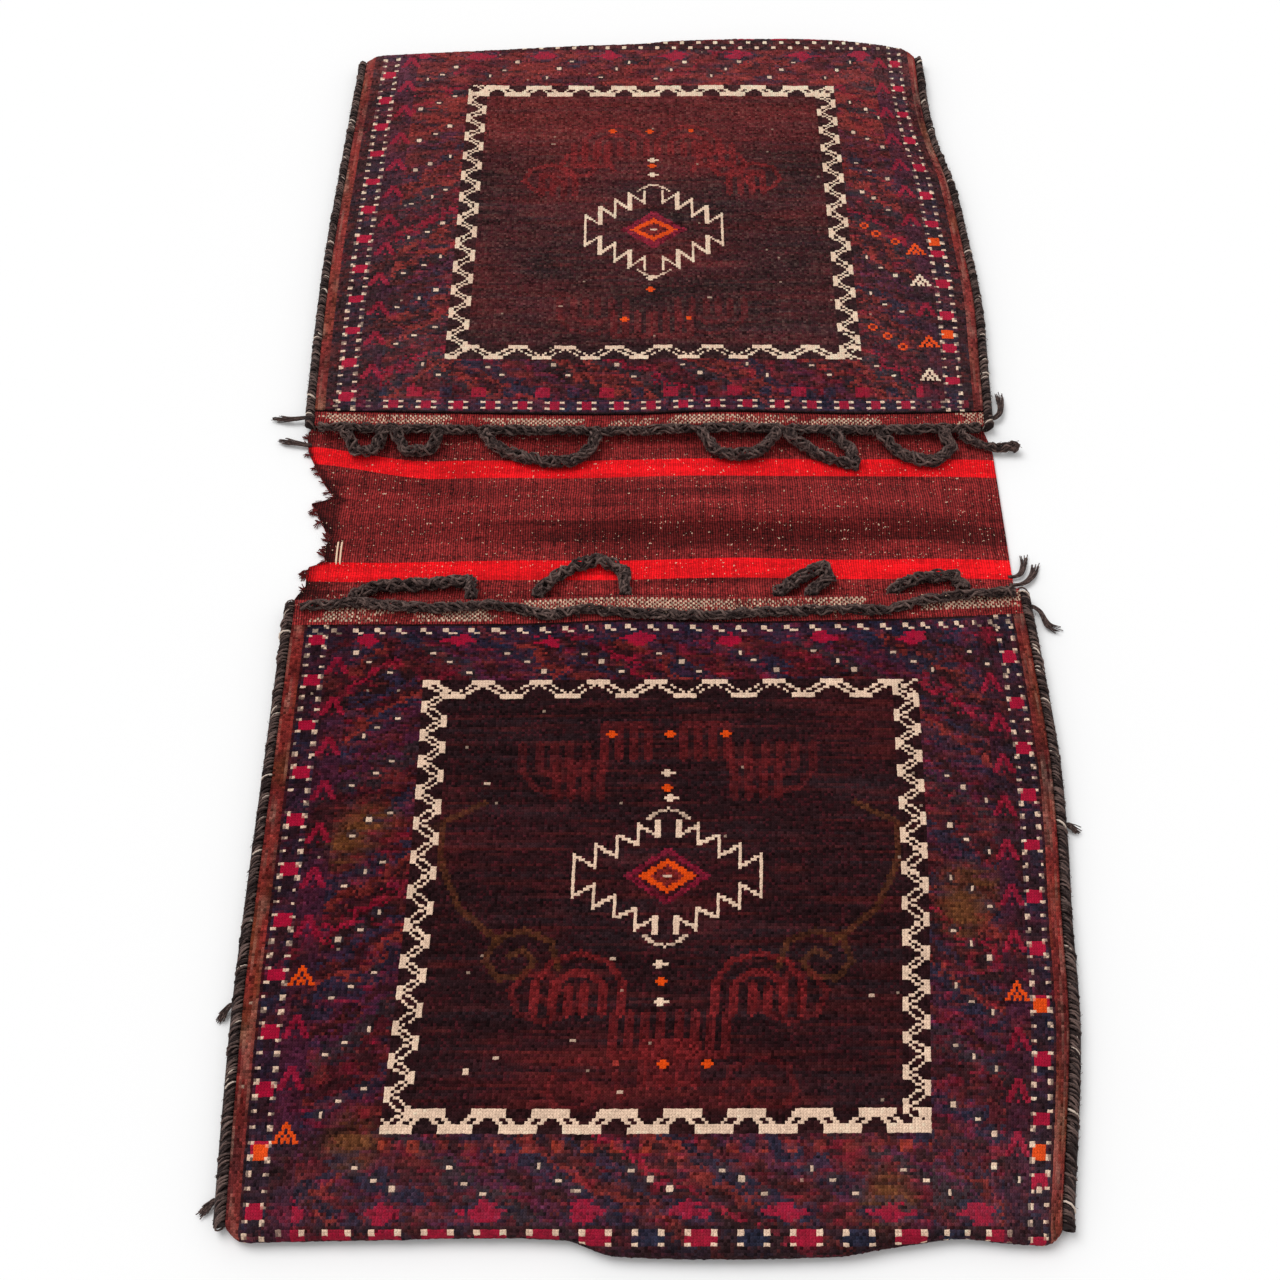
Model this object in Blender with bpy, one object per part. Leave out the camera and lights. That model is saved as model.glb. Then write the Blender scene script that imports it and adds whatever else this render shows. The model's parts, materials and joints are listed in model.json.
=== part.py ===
"""Kilim saddle bag: one woven strip, folded at both ends into two flat pockets.

The pockets are closed along their sides with an overcast of goat hair, and each mouth
carries a cord and a row of closing loops. X runs across the strip, Y along it, Z up.
The origin is under the middle of the bridge, on the ground.
"""

import bisect
import math

import bpy
import bmesh
import numpy as np
from mathutils import Vector

# Woven strip, in metres
HALF_WIDTH = 0.296
BACK_THICKNESS = 0.003
PILE_THICKNESS = 0.005
STRIP_THICKNESS = 0.003
CLEARANCE = 0.0003

# Room inside a pocket: along its middle, beside its seams and at its lip
POCKET_GAP = 0.0085
SIDE_GAP = 0.0062
LIP_GAP = 0.0060
LIP_TAPER = 0.15

# Corners of the folds are rounded off by this much, over this share of the half width
CORNER_ROUNDING = 0.009
CORNER_SHARE = 0.06

# Widths of the pattern's columns, from the side seam inwards to the field
PLAIN_COLUMN = 0.009
GUARD_COLUMN = 0.0175
MOTIF_COLUMN = 0.028
BORDER_COLUMN = 0.0255
FRAME_BAND = 0.018
FIELD_COLUMNS = 16
FIELD_ROWS = 24
PILE_EDGE = 0.0015
MOUTH_ROW = 0.0175

# Plain rows and columns of the strip where no pattern needs finer ones: shares across it,
# shares from lip to fold, and angles round the fold from straight up
COARSE_LINES = (-1.0, -0.98, -0.85, -0.5, -0.17, 0.17, 0.5, 0.85, 0.98, 1.0)
INNER_LIP = 0.04
INNER_START = 0.1
INNER_ROWS = 15
TURN_ANGLES = (40.0, 90.0, 140.0, 180.0)

# Medallion: its reach in the field's cells, and its rings as (share of that reach, colour)
MEDALLION_COLUMNS = 3.4
MEDALLION_ROWS = 4.2
MEDALLION_RINGS = ((0.2, "orange"), (0.52, "crimson"), (0.75, "field_brown"), (1.0, "ivory"))

# Red stripes of the bridge, measured from the middle of the bridge
STRIPE_WIDTH = 0.0205
FAR_STRIPE = 0.0525
NEAR_STRIPE = 0.0386

# Overcast seams along the pockets' sides
SEAM_WIDTH = 0.0095
SEAM_CLEARANCE = 0.0005
SEAM_WRAPS = 25
SEAM_SLANT = 0.006
SEAM_WAIST = 0.72
SEAM_SIDES = 8

# Cords along the mouths and closing loops on them
MOUTH_CORD = 0.007
MOUTH_CORD_REACH = 0.985
MOUTH_CORD_POINTS = 25
LOOP_CORD = 0.0105
TAIL_CORD = 0.0080
LOOP_DROP = 0.018
LOOP_LEAD = 0.004
LOOP_SEAT = 0.0012
CORD_BEVEL = 2
CORD_STEP = 2.2

# Distances along the strip, and how its edges wander from straight lines. Each wander is a
# list of (share of the way, outward distance): from lip to fold for the side edges, and from
# left edge to right edge for the fold and the lip.
FAR_POCKET = {
    "name": "far",
    "side": 1,
    "lip": 0.106,
    "face": 0.539,
    "mouth_strip": 0.0145,
    "mouth_border": 0.035,
    "fold_border": 0.062,
    "left_wander": ((0.0, 0.0040), (0.10, 0.0062), (0.40, 0.0092), (0.67, 0.0070), (1.0, 0.0030)),
    "right_wander": (
        (0.0, -0.0030), (0.12, -0.0004), (0.30, 0.0035), (0.46, 0.0003),
        (0.62, -0.0050), (0.74, -0.0155), (0.84, -0.0198), (1.0, -0.0203),
    ),
    "fold_wander": (
        (0.0, -0.014), (0.23, -0.005), (0.36, 0.001), (0.48, 0.005), (0.55, 0.0105),
        (0.75, 0.0137), (0.85, 0.0105), (0.92, 0.005), (1.0, -0.005),
    ),
    "lip_wander": ((0.0, 0.002), (0.2, -0.001), (0.45, -0.003), (0.6, 0.001), (0.8, -0.002), (1.0, 0.001)),
}
NEAR_POCKET = {
    "name": "near",
    "side": -1,
    "lip": 0.084,
    "face": 0.526,
    "mouth_strip": 0.0270,
    "mouth_border": 0.033,
    "fold_border": 0.058,
    "left_wander": ((0.0, -0.0015), (0.30, -0.0030), (0.67, -0.0050), (0.85, -0.0090), (1.0, -0.0135)),
    "right_wander": (
        (0.0, 0.0058), (0.30, 0.0095), (0.45, 0.0058), (0.57, 0.0003), (0.75, -0.0066), (1.0, -0.0290),
    ),
    "fold_wander": (
        (0.0, 0.0), (0.18, -0.002), (0.40, -0.002), (0.46, 0.0085), (0.70, 0.009),
        (0.78, 0.002), (0.85, -0.003), (0.92, 0.0), (1.0, 0.002),
    ),
    "lip_wander": ((0.0, 0.003), (0.3, 0.002), (0.45, -0.002), (0.6, 0.0), (0.8, -0.003), (1.0, -0.009)),
}
POCKETS = (FAR_POCKET, NEAR_POCKET)

# Edges of the bridge from the far lip to the near lip: (share of the way, outward distance).
# The left edge is torn into flaps.
TORN_EDGE = (
    (0.0, 0.0105), (0.05, 0.0100), (0.12, 0.0079), (0.30, -0.0082), (0.40, -0.0205), (0.43, 0.0000),
    (0.455, -0.0050), (0.53, -0.0105), (0.635, -0.0210), (0.716, -0.0162), (0.775, -0.0208),
    (0.80, -0.0050), (0.915, -0.0060), (0.96, 0.0005), (1.0, 0.0030),
)
SOUND_EDGE = ((0.0, -0.002), (0.11, 0.0030), (0.5, 0.0035), (0.9, 0.0040), (1.0, 0.0055))

# Colours as linear red, green and blue, with a roughness
COLOURS = {
    "field_brown": (0.026, 0.010, 0.012, 0.95),
    "ivory": (0.78, 0.58, 0.40, 0.90),
    "crimson": (0.33, 0.012, 0.042, 0.90),
    "wine": (0.10, 0.014, 0.026, 0.92),
    "rust": (0.17, 0.030, 0.020, 0.92),
    "navy": (0.016, 0.014, 0.050, 0.92),
    "orange": (0.75, 0.11, 0.012, 0.90),
    "kilim_maroon": (0.11, 0.013, 0.016, 0.88),
    "kilim_red": (0.66, 0.010, 0.016, 0.85),
    "brocade": (0.40, 0.19, 0.14, 0.88),
    "goat_hair": (0.030, 0.022, 0.021, 0.95),
}

BODY_COLOURS = (
    "kilim_maroon", "field_brown", "ivory", "crimson", "wine", "rust", "navy", "orange",
    "kilim_red", "brocade",
)
SLOT = {name: index for index, name in enumerate(BODY_COLOURS)}


def clear_scene():
    for item in list(bpy.data.objects):
        bpy.data.objects.remove(item, do_unlink=True)


def material(name):
    """A matte wool or hair of one of the named colours."""
    found = bpy.data.materials.get(name)
    if found:
        return found
    made = bpy.data.materials.new(name)
    made.use_nodes = True
    shader = made.node_tree.nodes["Principled BSDF"]
    red, green, blue, rough = COLOURS[name]
    shader.inputs["Base Color"].default_value = (red, green, blue, 1.0)
    shader.inputs["Roughness"].default_value = rough
    shader.inputs["Metallic"].default_value = 0.0
    made.diffuse_color = (red, green, blue, 1.0)
    return made


def wander(table, share):
    """The outward distance of an edge at a share of its way, on a smooth curve through the table."""
    shares = [row[0] for row in table]
    share = min(max(share, 0.0), 1.0)
    right = min(max(bisect.bisect_right(shares, share), 1), len(table) - 1)
    left = right - 1
    slopes = []
    for index in (left, right):
        before, after = table[max(index - 1, 0)], table[min(index + 1, len(table) - 1)]
        slopes.append((after[1] - before[1]) / (after[0] - before[0]))
    width = table[right][0] - table[left][0]
    u = (share - table[left][0]) / width
    start, end = table[left][1], table[right][1]
    return (
        start * (1.0 + 2.0 * u) * (1.0 - u) ** 2
        + end * u * u * (3.0 - 2.0 * u)
        + slopes[0] * width * u * (1.0 - u) ** 2
        - slopes[1] * width * u * u * (1.0 - u)
    )


def straight(table, share):
    """The outward distance of a torn edge, on straight runs through the table."""
    return float(np.interp(share, [row[0] for row in table], [row[1] for row in table]))


def across(left, right, s):
    """The place at share s, from -1 at the left edge to 1 at the right, between two edges."""
    return left + (right - left) * (s + 1.0) / 2.0


def pocket_edges(pocket, t):
    """The left and right edges of the woven pocket at share t of the way from lip to fold."""
    left = -HALF_WIDTH - wander(pocket["left_wander"], t)
    right = HALF_WIDTH + wander(pocket["right_wander"], t)
    return left, right


def room(s, t):
    """The height of the room inside a pocket, swelling gently away from seams and lip."""
    rise = min(t / LIP_TAPER, 1.0)
    rise = rise * rise * (3.0 - 2.0 * rise)
    crown = 1.0 - abs(s) ** 4
    inner = SIDE_GAP + (POCKET_GAP - SIDE_GAP) * crown
    return LIP_GAP + (inner - LIP_GAP) * rise


def pocket_height(s, t):
    """The whole thickness of a flat pocket where its face is piled."""
    return BACK_THICKNESS + room(s, t) + PILE_THICKNESS


def lip_distance(pocket, s):
    """How far a pocket's lip lies from the middle of the bridge."""
    return pocket["lip"] + wander(pocket["lip_wander"], (s + 1.0) / 2.0)


def fold_distance(pocket, s):
    """How far the outermost line of the fold lies from the middle of the bridge."""
    outer = max(abs(s) - (1.0 - CORNER_SHARE), 0.0) / CORNER_SHARE
    reach = wander(pocket["fold_wander"], (s + 1.0) / 2.0) - CORNER_ROUNDING * outer**2
    return pocket["lip"] + pocket["face"] + reach


def face_place(pocket, s, t, height):
    """A point of the pocket: share s across, share t from lip to fold, at a height."""
    left, right = pocket_edges(pocket, t)
    turn = fold_distance(pocket, s) - pocket_height(s, 1.0) / 2.0
    start = lip_distance(pocket, s)
    distance = start + (turn - start) * t
    return Vector((across(left, right, s), pocket["side"] * distance, height))


def fold_row(pocket, shares, angle, inner):
    """A row of points on the fold, at an angle from straight up, on its outer or inner side."""
    row = []
    for s in shares:
        place = face_place(pocket, s, 1.0, 0.0)
        whole = pocket_height(s, 1.0)
        radius = room(s, 1.0) / 2.0 if inner else whole / 2.0
        middle = BACK_THICKNESS + radius if inner else radius
        out = radius * math.sin(angle)
        row.append(Vector((place.x, place.y + pocket["side"] * out, middle + radius * math.cos(angle))))
    return row


def column_lines():
    """The shares across the face at which the pattern's columns meet, and each column's name."""
    side = [("plain", PLAIN_COLUMN), ("guard", GUARD_COLUMN), ("motif", MOTIF_COLUMN)]
    side += [("border_out", BORDER_COLUMN), ("border_in", BORDER_COLUMN), ("frame", FRAME_BAND)]
    used = sum(width for name, width in side)
    cell = 2.0 * (HALF_WIDTH - used) / FIELD_COLUMNS
    columns = side + [("field", cell)] * FIELD_COLUMNS + side[::-1]
    lines = [-1.0]
    for name, width in columns:
        lines.append(lines[-1] + width / HALF_WIDTH)
    lines[-1] = 1.0
    return lines, [name for name, width in columns]


def row_lines(pocket):
    """The distances from the lip at which the pattern's rows meet, and each row's name."""
    before = [("strip", pocket["mouth_strip"]), ("edge", PILE_EDGE), ("mouth", MOUTH_ROW)]
    before += [("border_mouth", pocket["mouth_border"] / 2.0)] * 2 + [("frame", FRAME_BAND)]
    after = [("frame", FRAME_BAND)] + [("border_fold", pocket["fold_border"] / 3.0)] * 3
    used = sum(width for name, width in before + after)
    turn = pocket["face"] - pocket_height(0.0, 1.0) / 2.0
    cell = (turn - used) / FIELD_ROWS
    rows = before + [("field", cell)] * FIELD_ROWS + after
    lines = [0.0]
    for name, width in rows:
        lines.append(lines[-1] + width / turn)
    lines[-1] = 1.0
    return lines, [name for name, width in rows]


def diagonal(column, row):
    """The colour of one cell of the border's diagonal bands."""
    return ("wine", "navy", "rust", "crimson")[(column + row) % 4]


def cell_colour(column_name, row_name, column, row, first_column, first_row):
    """The colour field that one cell of a pocket's face belongs to."""
    if row_name in ("strip", "edge"):
        return "brocade" if row_name == "strip" and column % 3 else "kilim_maroon"
    if column_name == "plain":
        return "rust"
    if column_name == "guard":
        return ("ivory", "navy", "ivory", "crimson")[row % 4]
    if column_name == "motif":
        return "crimson" if row % 2 else "field_brown"
    if row_name == "mouth":
        return "crimson" if column % 2 else "ivory"
    if column_name.startswith("border") or row_name.startswith("border"):
        return diagonal(column, row)
    if column_name == "frame" or row_name == "frame":
        return "ivory" if (column + row) % 2 else "field_brown"
    across_middle = abs(column - first_column - (FIELD_COLUMNS - 1) / 2.0) / MEDALLION_COLUMNS
    along_middle = abs(row - first_row - (FIELD_ROWS - 1) / 2.0) / MEDALLION_ROWS
    for reach, colour in MEDALLION_RINGS:
        if across_middle + along_middle < reach:
            return colour
    return "field_brown"


class Skin:
    """A mesh built from rows of points that are stitched together with faces."""

    def __init__(self):
        self.points = []
        self.faces = []
        self.slots = []

    def row(self, places):
        """Adds a row of points and returns their numbers."""
        start = len(self.points)
        self.points += places
        return list(range(start, len(self.points)))

    def stitch(self, first, second, slot):
        """Joins two rows: with quads where they match, or else with triangles along both."""
        pick = slot if callable(slot) else lambda cell: slot
        if len(first) == len(second):
            for cell in range(len(first) - 1):
                self.faces.append((first[cell], first[cell + 1], second[cell + 1], second[cell]))
                self.slots.append(pick(cell))
            return
        a, b = 0, 0
        while a < len(first) - 1 or b < len(second) - 1:
            on_first = b == len(second) - 1
            if a < len(first) - 1 and not on_first:
                on_first = self.apart(first[a + 1], second[b]) <= self.apart(first[a], second[b + 1])
            if on_first:
                self.faces.append((first[a], first[a + 1], second[b]))
                a += 1
            else:
                self.faces.append((first[a], second[b + 1], second[b]))
                b += 1
            self.slots.append(pick(min(a, b)))

    def apart(self, start, end):
        """The distance between two of the points."""
        return (self.points[end] - self.points[start]).length

    def close(self, row):
        """Fills a closed row of points with triangles about its middle."""
        middle = sum((self.points[index] for index in row), Vector()) / len(row)
        hub = self.row([middle])[0]
        for start, end in zip(row, row[1:] + row[:1]):
            self.faces.append((start, end, hub))
            self.slots.append(0)

    def build(self, name, materials):
        """Makes the object, with every face pointing outwards."""
        mesh = bpy.data.meshes.new(name)
        mesh.from_pydata([tuple(point) for point in self.points], [], self.faces)
        for index, polygon in enumerate(mesh.polygons):
            polygon.material_index = self.slots[index]
        shell = bmesh.new()
        shell.from_mesh(mesh)
        bmesh.ops.remove_doubles(shell, verts=shell.verts, dist=CLEARANCE / 100.0)
        bmesh.ops.recalc_face_normals(shell, faces=shell.faces)
        if shell.calc_volume(signed=True) < 0.0:
            bmesh.ops.reverse_faces(shell, faces=shell.faces)
        shell.to_mesh(mesh)
        shell.free()
        for item in materials:
            mesh.materials.append(material(item))
        made = bpy.data.objects.new(name, mesh)
        bpy.context.scene.collection.objects.link(made)
        return made


def bridge_length():
    return FAR_POCKET["lip"] + NEAR_POCKET["lip"]


def bridge_row(share, shares, height):
    """A row across the bridge, at a share of the way from the far lip to the near lip."""
    left = -HALF_WIDTH - straight(TORN_EDGE, share)
    right = HALF_WIDTH + straight(SOUND_EDGE, share)
    y = FAR_POCKET["lip"] - share * bridge_length()
    return [Vector((across(left, right, s), y, height)) for s in shares]


def bridge_shares():
    """Where the bridge has rows: at its torn edge's corners and at the red stripes' sides."""
    shares = [share for share, out in TORN_EDGE[1:-1]]
    for y in (FAR_STRIPE + STRIPE_WIDTH, FAR_STRIPE, -NEAR_STRIPE, -NEAR_STRIPE - STRIPE_WIDTH):
        shares.append((FAR_POCKET["lip"] - y) / bridge_length())
    return sorted(shares)


def bridge_colour(share):
    """The colour of the bridge's weave at a share of the way from the far lip."""
    y = FAR_POCKET["lip"] - share * bridge_length()
    in_far = FAR_STRIPE < y < FAR_STRIPE + STRIPE_WIDTH
    in_near = NEAR_STRIPE < -y < NEAR_STRIPE + STRIPE_WIDTH
    return SLOT["kilim_red"] if in_far or in_near else SLOT["kilim_maroon"]


def face_rows(skin, pocket, shares):
    """The outer rows of a pocket's face, from lip to fold, with each row's thickness."""
    lines, names = row_lines(pocket)
    rows = []
    for index, t in enumerate(lines):
        on_strip = index < 2
        thick = STRIP_THICKNESS if on_strip else PILE_THICKNESS
        rows.append(
            skin.row([face_place(pocket, s, t, BACK_THICKNESS + room(s, t) + thick) for s in shares])
        )
    return rows, names


def woven_panel():
    """The whole strip as one folded solid, its face coloured in fields."""
    skin = Skin()
    fine, column_names = column_lines()
    coarse = COARSE_LINES
    inner_stations = [0.0, INNER_LIP] + list(np.linspace(INNER_START, 1.0, INNER_ROWS))
    turns = [math.radians(angle) for angle in TURN_ANGLES]
    first_column = column_names.index("field")

    outer, inner = {}, {}
    for pocket in POCKETS:
        rows, row_names = face_rows(skin, pocket, fine)
        first_row = row_names.index("field")
        for row, name in enumerate(row_names):
            def colour(column, row=row, name=name, first_row=first_row):
                picked = cell_colour(column_names[column], name, column, row, first_column, first_row)
                return SLOT[picked]

            skin.stitch(rows[row], rows[row + 1], colour)
        for angle in turns:
            rows.append(skin.row(fold_row(pocket, coarse, angle, inner=False)))
            skin.stitch(rows[-2], rows[-1], SLOT["kilim_maroon"])
        for t in inner_stations[-2::-1]:
            rows.append(skin.row([face_place(pocket, s, t, 0.0) for s in coarse]))
            skin.stitch(rows[-2], rows[-1], SLOT["kilim_maroon"])
        outer[pocket["name"]] = rows

        under = []
        for t in inner_stations:
            height = [BACK_THICKNESS + room(s, t) for s in coarse]
            under.append(skin.row([face_place(pocket, s, t, h) for s, h in zip(coarse, height)]))
        for angle in turns:
            under.append(skin.row(fold_row(pocket, coarse, angle, inner=True)))
        for t in inner_stations[-2::-1]:
            under.append(skin.row([face_place(pocket, s, t, BACK_THICKNESS) for s in coarse]))
        for first, second in zip(under, under[1:]):
            skin.stitch(first, second, SLOT["kilim_maroon"])
        skin.stitch(rows[0], under[0], SLOT["kilim_maroon"])
        inner[pocket["name"]] = under

    shares = bridge_shares()
    for height, sides in ((0.0, outer), (BACK_THICKNESS, inner)):
        rows = [sides["far"][-1]]
        rows += [skin.row(bridge_row(share, coarse, height)) for share in shares]
        rows.append(sides["near"][-1])
        middles = [0.0] + shares + [1.0]
        for index in range(len(rows) - 1):
            skin.stitch(rows[index], rows[index + 1], bridge_colour(sum(middles[index : index + 2]) / 2.0))
        sides["bridge"] = rows[1:-1]

    for end in (0, -1):
        columns = []
        for sides in (outer, inner):
            rows = sides["far"] + sides["bridge"] + sides["near"][::-1]
            columns.append([row[end] for row in rows])
        skin.stitch(columns[0], columns[1], SLOT["kilim_maroon"])
    return skin.build("woven_panel", BODY_COLOURS)


def seam_share(pocket, step):
    """The share of the way from lip to fold of one ring of a side seam."""
    slant = SEAM_SLANT / pocket["face"] / 2.0
    return slant + (1.0 - 2.0 * slant) * step / (2 * SEAM_WRAPS)


def side_seam(pocket, hand):
    """The overcast seam along one side of a pocket: slanted wraps of goat hair round both edges."""
    skin = Skin()
    rings = []
    slant = SEAM_SLANT / pocket["face"] / 2.0
    for step in range(2 * SEAM_WRAPS + 1):
        t = seam_share(pocket, step)
        size = 1.0 if step % 2 else SEAM_WAIST
        tall = (pocket_height(1.0, t) - 2.0 * CLEARANCE) / 2.0
        ring = []
        for corner in range(SEAM_SIDES):
            angle = 2.0 * math.pi * (corner + 0.5) / SEAM_SIDES
            place = face_place(pocket, hand, t + slant * math.sin(angle), 0.0)
            out = SEAM_CLEARANCE + SEAM_WIDTH * (1.0 + size * math.cos(angle)) / 2.0
            up = CLEARANCE + tall * (1.0 + size * math.sin(angle))
            ring.append(place + Vector((hand * out, 0.0, up)))
        rings.append(skin.row(ring))
    for first, second in zip(rings, rings[1:]):
        skin.stitch(first + first[:1], second + second[:1], 0)
    skin.close(rings[0])
    skin.close(rings[-1])
    side = "left" if hand < 0 else "right"
    return skin.build(f"seam_{pocket['name']}_{side}", ("goat_hair",))


def smooth_route(points, step, lowest=0.0):
    """Points about one step apart on a smooth curve through the route's points, none too low."""
    route = [Vector(point) for point in points]
    padded = [2.0 * route[0] - route[1]] + route + [2.0 * route[-1] - route[-2]]
    line = []
    for index in range(1, len(padded) - 2):
        before, start, end, after = padded[index - 1 : index + 3]
        pieces = max(1, math.ceil((end - start).length / step))
        for piece in range(pieces):
            u = piece / pieces
            line.append(
                0.5
                * (
                    2.0 * start
                    + (end - before) * u
                    + (2.0 * before - 5.0 * start + 4.0 * end - after) * u**2
                    + (3.0 * start - before - 3.0 * end + after) * u**3
                )
            )
    line.append(route[-1])
    for place in line:
        place.z = max(place.z, lowest)
    return line


def cord(name, points, diameter, lowest=0.0):
    """A round cord of goat hair along a route, with closed ends and its middle never too low."""
    line = smooth_route(points, CORD_STEP * diameter, lowest)
    curve = bpy.data.curves.new(name, "CURVE")
    curve.dimensions = "3D"
    curve.bevel_depth = diameter / 2.0
    curve.bevel_resolution = round(CORD_BEVEL)
    curve.use_fill_caps = True
    spline = curve.splines.new("POLY")
    spline.points.add(len(line) - 1)
    for point, place in zip(spline.points, line):
        point.co = (*place, 1.0)
    curve.materials.append(material("goat_hair"))
    made = bpy.data.objects.new(name, curve)
    bpy.context.scene.collection.objects.link(made)
    return made


def lip_height():
    """The height of a lip's underside above the ground."""
    return BACK_THICKNESS + LIP_GAP


def far_mouth_cord():
    """The cord along the front edge of the far lip, level with the lip."""
    radius = MOUTH_CORD / 2.0
    points = []
    for s in np.linspace(-MOUTH_CORD_REACH, MOUTH_CORD_REACH, MOUTH_CORD_POINTS):
        place = face_place(FAR_POCKET, s, 0.0, lip_height() + CLEARANCE + radius)
        points.append(place - Vector((0.0, radius + 2.0 * CLEARANCE, 0.0)))
    return cord("mouth_cord_far", points, MOUTH_CORD)


# The near mouth cord snakes over its strip: (share across, distance behind the lip)
NEAR_CORD_ROUTE = (
    (-0.98, 0.0100), (-0.84, 0.0060), (-0.63, 0.0115), (-0.44, 0.0095), (-0.30, 0.0205),
    (-0.21, 0.0165), (-0.10, 0.0205), (0.10, 0.0225), (0.26, 0.0190), (0.49, 0.0180),
    (0.63, 0.0190), (0.77, 0.0085), (0.90, 0.0065), (0.985, 0.0060),
)


def near_mouth_cord():
    """The cord that lies on the near mouth's woven strip."""
    radius = MOUTH_CORD / 2.0
    points = []
    for s, behind in NEAR_CORD_ROUTE:
        lip = face_place(NEAR_POCKET, s, 0.0, 0.0)
        height = lip_height() + STRIP_THICKNESS + 2.0 * CLEARANCE + radius
        rise = room(s, behind / NEAR_POCKET["face"]) - LIP_GAP
        points.append(Vector((lip.x, lip.y - behind, height + rise)))
    return cord("mouth_cord_near", points, MOUTH_CORD)


# Closing loops: (X, distance out from the lip) of each loop's turns between its two ends
FAR_LOOPS = (
    ((-0.2700, 0.0), (-0.2600, 0.0290), (-0.2440, 0.0285), (-0.2385, 0.0)),
    ((-0.2260, 0.0), (-0.2180, 0.0270), (-0.1960, 0.0260), (-0.1900, 0.0)),
    ((-0.1480, 0.0), (-0.1300, 0.0260), (-0.0900, 0.0370), (-0.0640, 0.0330), (-0.0500, 0.0)),
    ((0.0430, 0.0), (0.0560, 0.0290), (0.0880, 0.0310), (0.1080, 0.0)),
    ((0.1200, 0.0), (0.1420, 0.0280), (0.1760, 0.0420), (0.1740, 0.0240), (0.1600, 0.0)),
    ((0.2020, 0.0), (0.2160, 0.0290), (0.2460, 0.0380), (0.2620, 0.0240), (0.2560, 0.0)),
    ((0.2720, 0.0), (0.2850, 0.0190), (0.3030, 0.0230), (0.3150, 0.0215)),
)
NEAR_LOOPS = (
    ((-0.2480, 0.0), (-0.2300, 0.0170), (-0.1900, 0.0180), (-0.1520, 0.0220), (-0.1500, 0.0)),
    ((-0.0960, 0.0), (-0.0800, 0.0260), (-0.0480, 0.0400), (-0.0240, 0.0260), (-0.0240, 0.0)),
    ((0.1020, 0.0), (0.1180, 0.0190), (0.1420, 0.0330), (0.1480, 0.0220), (0.1300, 0.0)),
    ((0.1980, 0.0), (0.2160, 0.0160), (0.2500, 0.0190), (0.2560, 0.0)),
)


def closing_loop(pocket, name, turns):
    """A loop of cord that hangs from a lip and lies on the bridge, or a thinner tail of it."""
    diameter = TAIL_CORD if turns[-1][1] > 0.0 else LOOP_CORD
    radius = diameter / 2.0
    low = BACK_THICKNESS + CLEARANCE + radius
    far = pocket["side"] > 0
    high = lip_height() + (radius if far else STRIP_THICKNESS / 2.0)
    seat = LOOP_SEAT + (MOUTH_CORD if far else 0.0)
    points = []
    for index, (x, out) in enumerate(turns):
        lip = pocket["side"] * lip_distance(pocket, x / HALF_WIDTH)
        sunk = min(out / LOOP_DROP, 1.0)
        height = high + (low - high) * sunk
        rooted = [Vector((x, lip - pocket["side"] * max(out, seat), height))]
        if out == 0.0:
            lead = Vector((0.0, -pocket["side"] * LOOP_LEAD, 0.0))
            rooted.insert(1 if index == 0 else 0, rooted[0] + lead)
        points += rooted
    return cord(name, points, diameter, low)


# Frayed locks of yarn. A lock grows out of a wrap of a seam, counted from the lip, or out of
# the bridge's edge, at a share of the way from the far lip to the near one. Its turns are
# (distance out from there, distance along the strip, height of its middle line).
SEAM_LOCKS = (
    ("tail_far_left_upper", FAR_POCKET, -1, 0, 0.0035,
     ((0.0, 0.0, 0.0060), (0.0140, -0.0010, 0.0050), (0.0310, 0.0030, 0.0020))),
    ("tail_far_right", FAR_POCKET, 1, 0, 0.0040,
     ((0.0, 0.0, 0.0060), (0.0060, 0.0060, 0.0060), (0.0085, 0.0180, 0.0050), (0.0090, 0.0330, 0.0025))),
    ("tassel_near_right_curl", NEAR_POCKET, 1, 0, 0.0030,
     ((0.0, 0.0, 0.0050), (0.0060, -0.0060, 0.0050), (0.0110, -0.0190, 0.0035), (0.0210, -0.0230, 0.0020))),
    ("tuft_near_left", NEAR_POCKET, -1, 17, 0.0030,
     ((0.0, 0.0, 0.0045), (0.0040, -0.0050, 0.0040), (0.0070, -0.0120, 0.0020))),
    ("tuft_near_right", NEAR_POCKET, 1, 10, 0.0030,
     ((0.0, 0.0, 0.0045), (0.0040, -0.0020, 0.0040), (0.0080, -0.0050, 0.0020))),
    ("tuft_corner_left", NEAR_POCKET, -1, 24, 0.0030,
     ((0.0, 0.0, 0.0045), (0.0040, -0.0040, 0.0040), (0.0090, -0.0090, 0.0020))),
)
BRIDGE_LOCKS = (
    ("tail_far_left_lower", -1, 0.085, 0.0035,
     ((0.0, 0.0, 0.0042), (0.0130, 0.0030, 0.0045), (0.0270, 0.0078, 0.0018))),
    ("tassel_near_right_inner", 1, 0.855, 0.0030,
     ((0.0, 0.0, 0.0035), (0.0060, 0.0020, 0.0045), (0.0100, 0.0110, 0.0040), (0.0125, 0.0230, 0.0018))),
    ("tassel_near_right_outer", 1, 0.90, 0.0030,
     ((0.0, 0.0, 0.0035), (0.0080, 0.0010, 0.0045), (0.0160, 0.0090, 0.0040), (0.0215, 0.0230, 0.0018))),
)
LOCK_SEAT = 0.0007
LOCK_TIP = 0.35
LOCK_SIDES = 7


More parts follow.
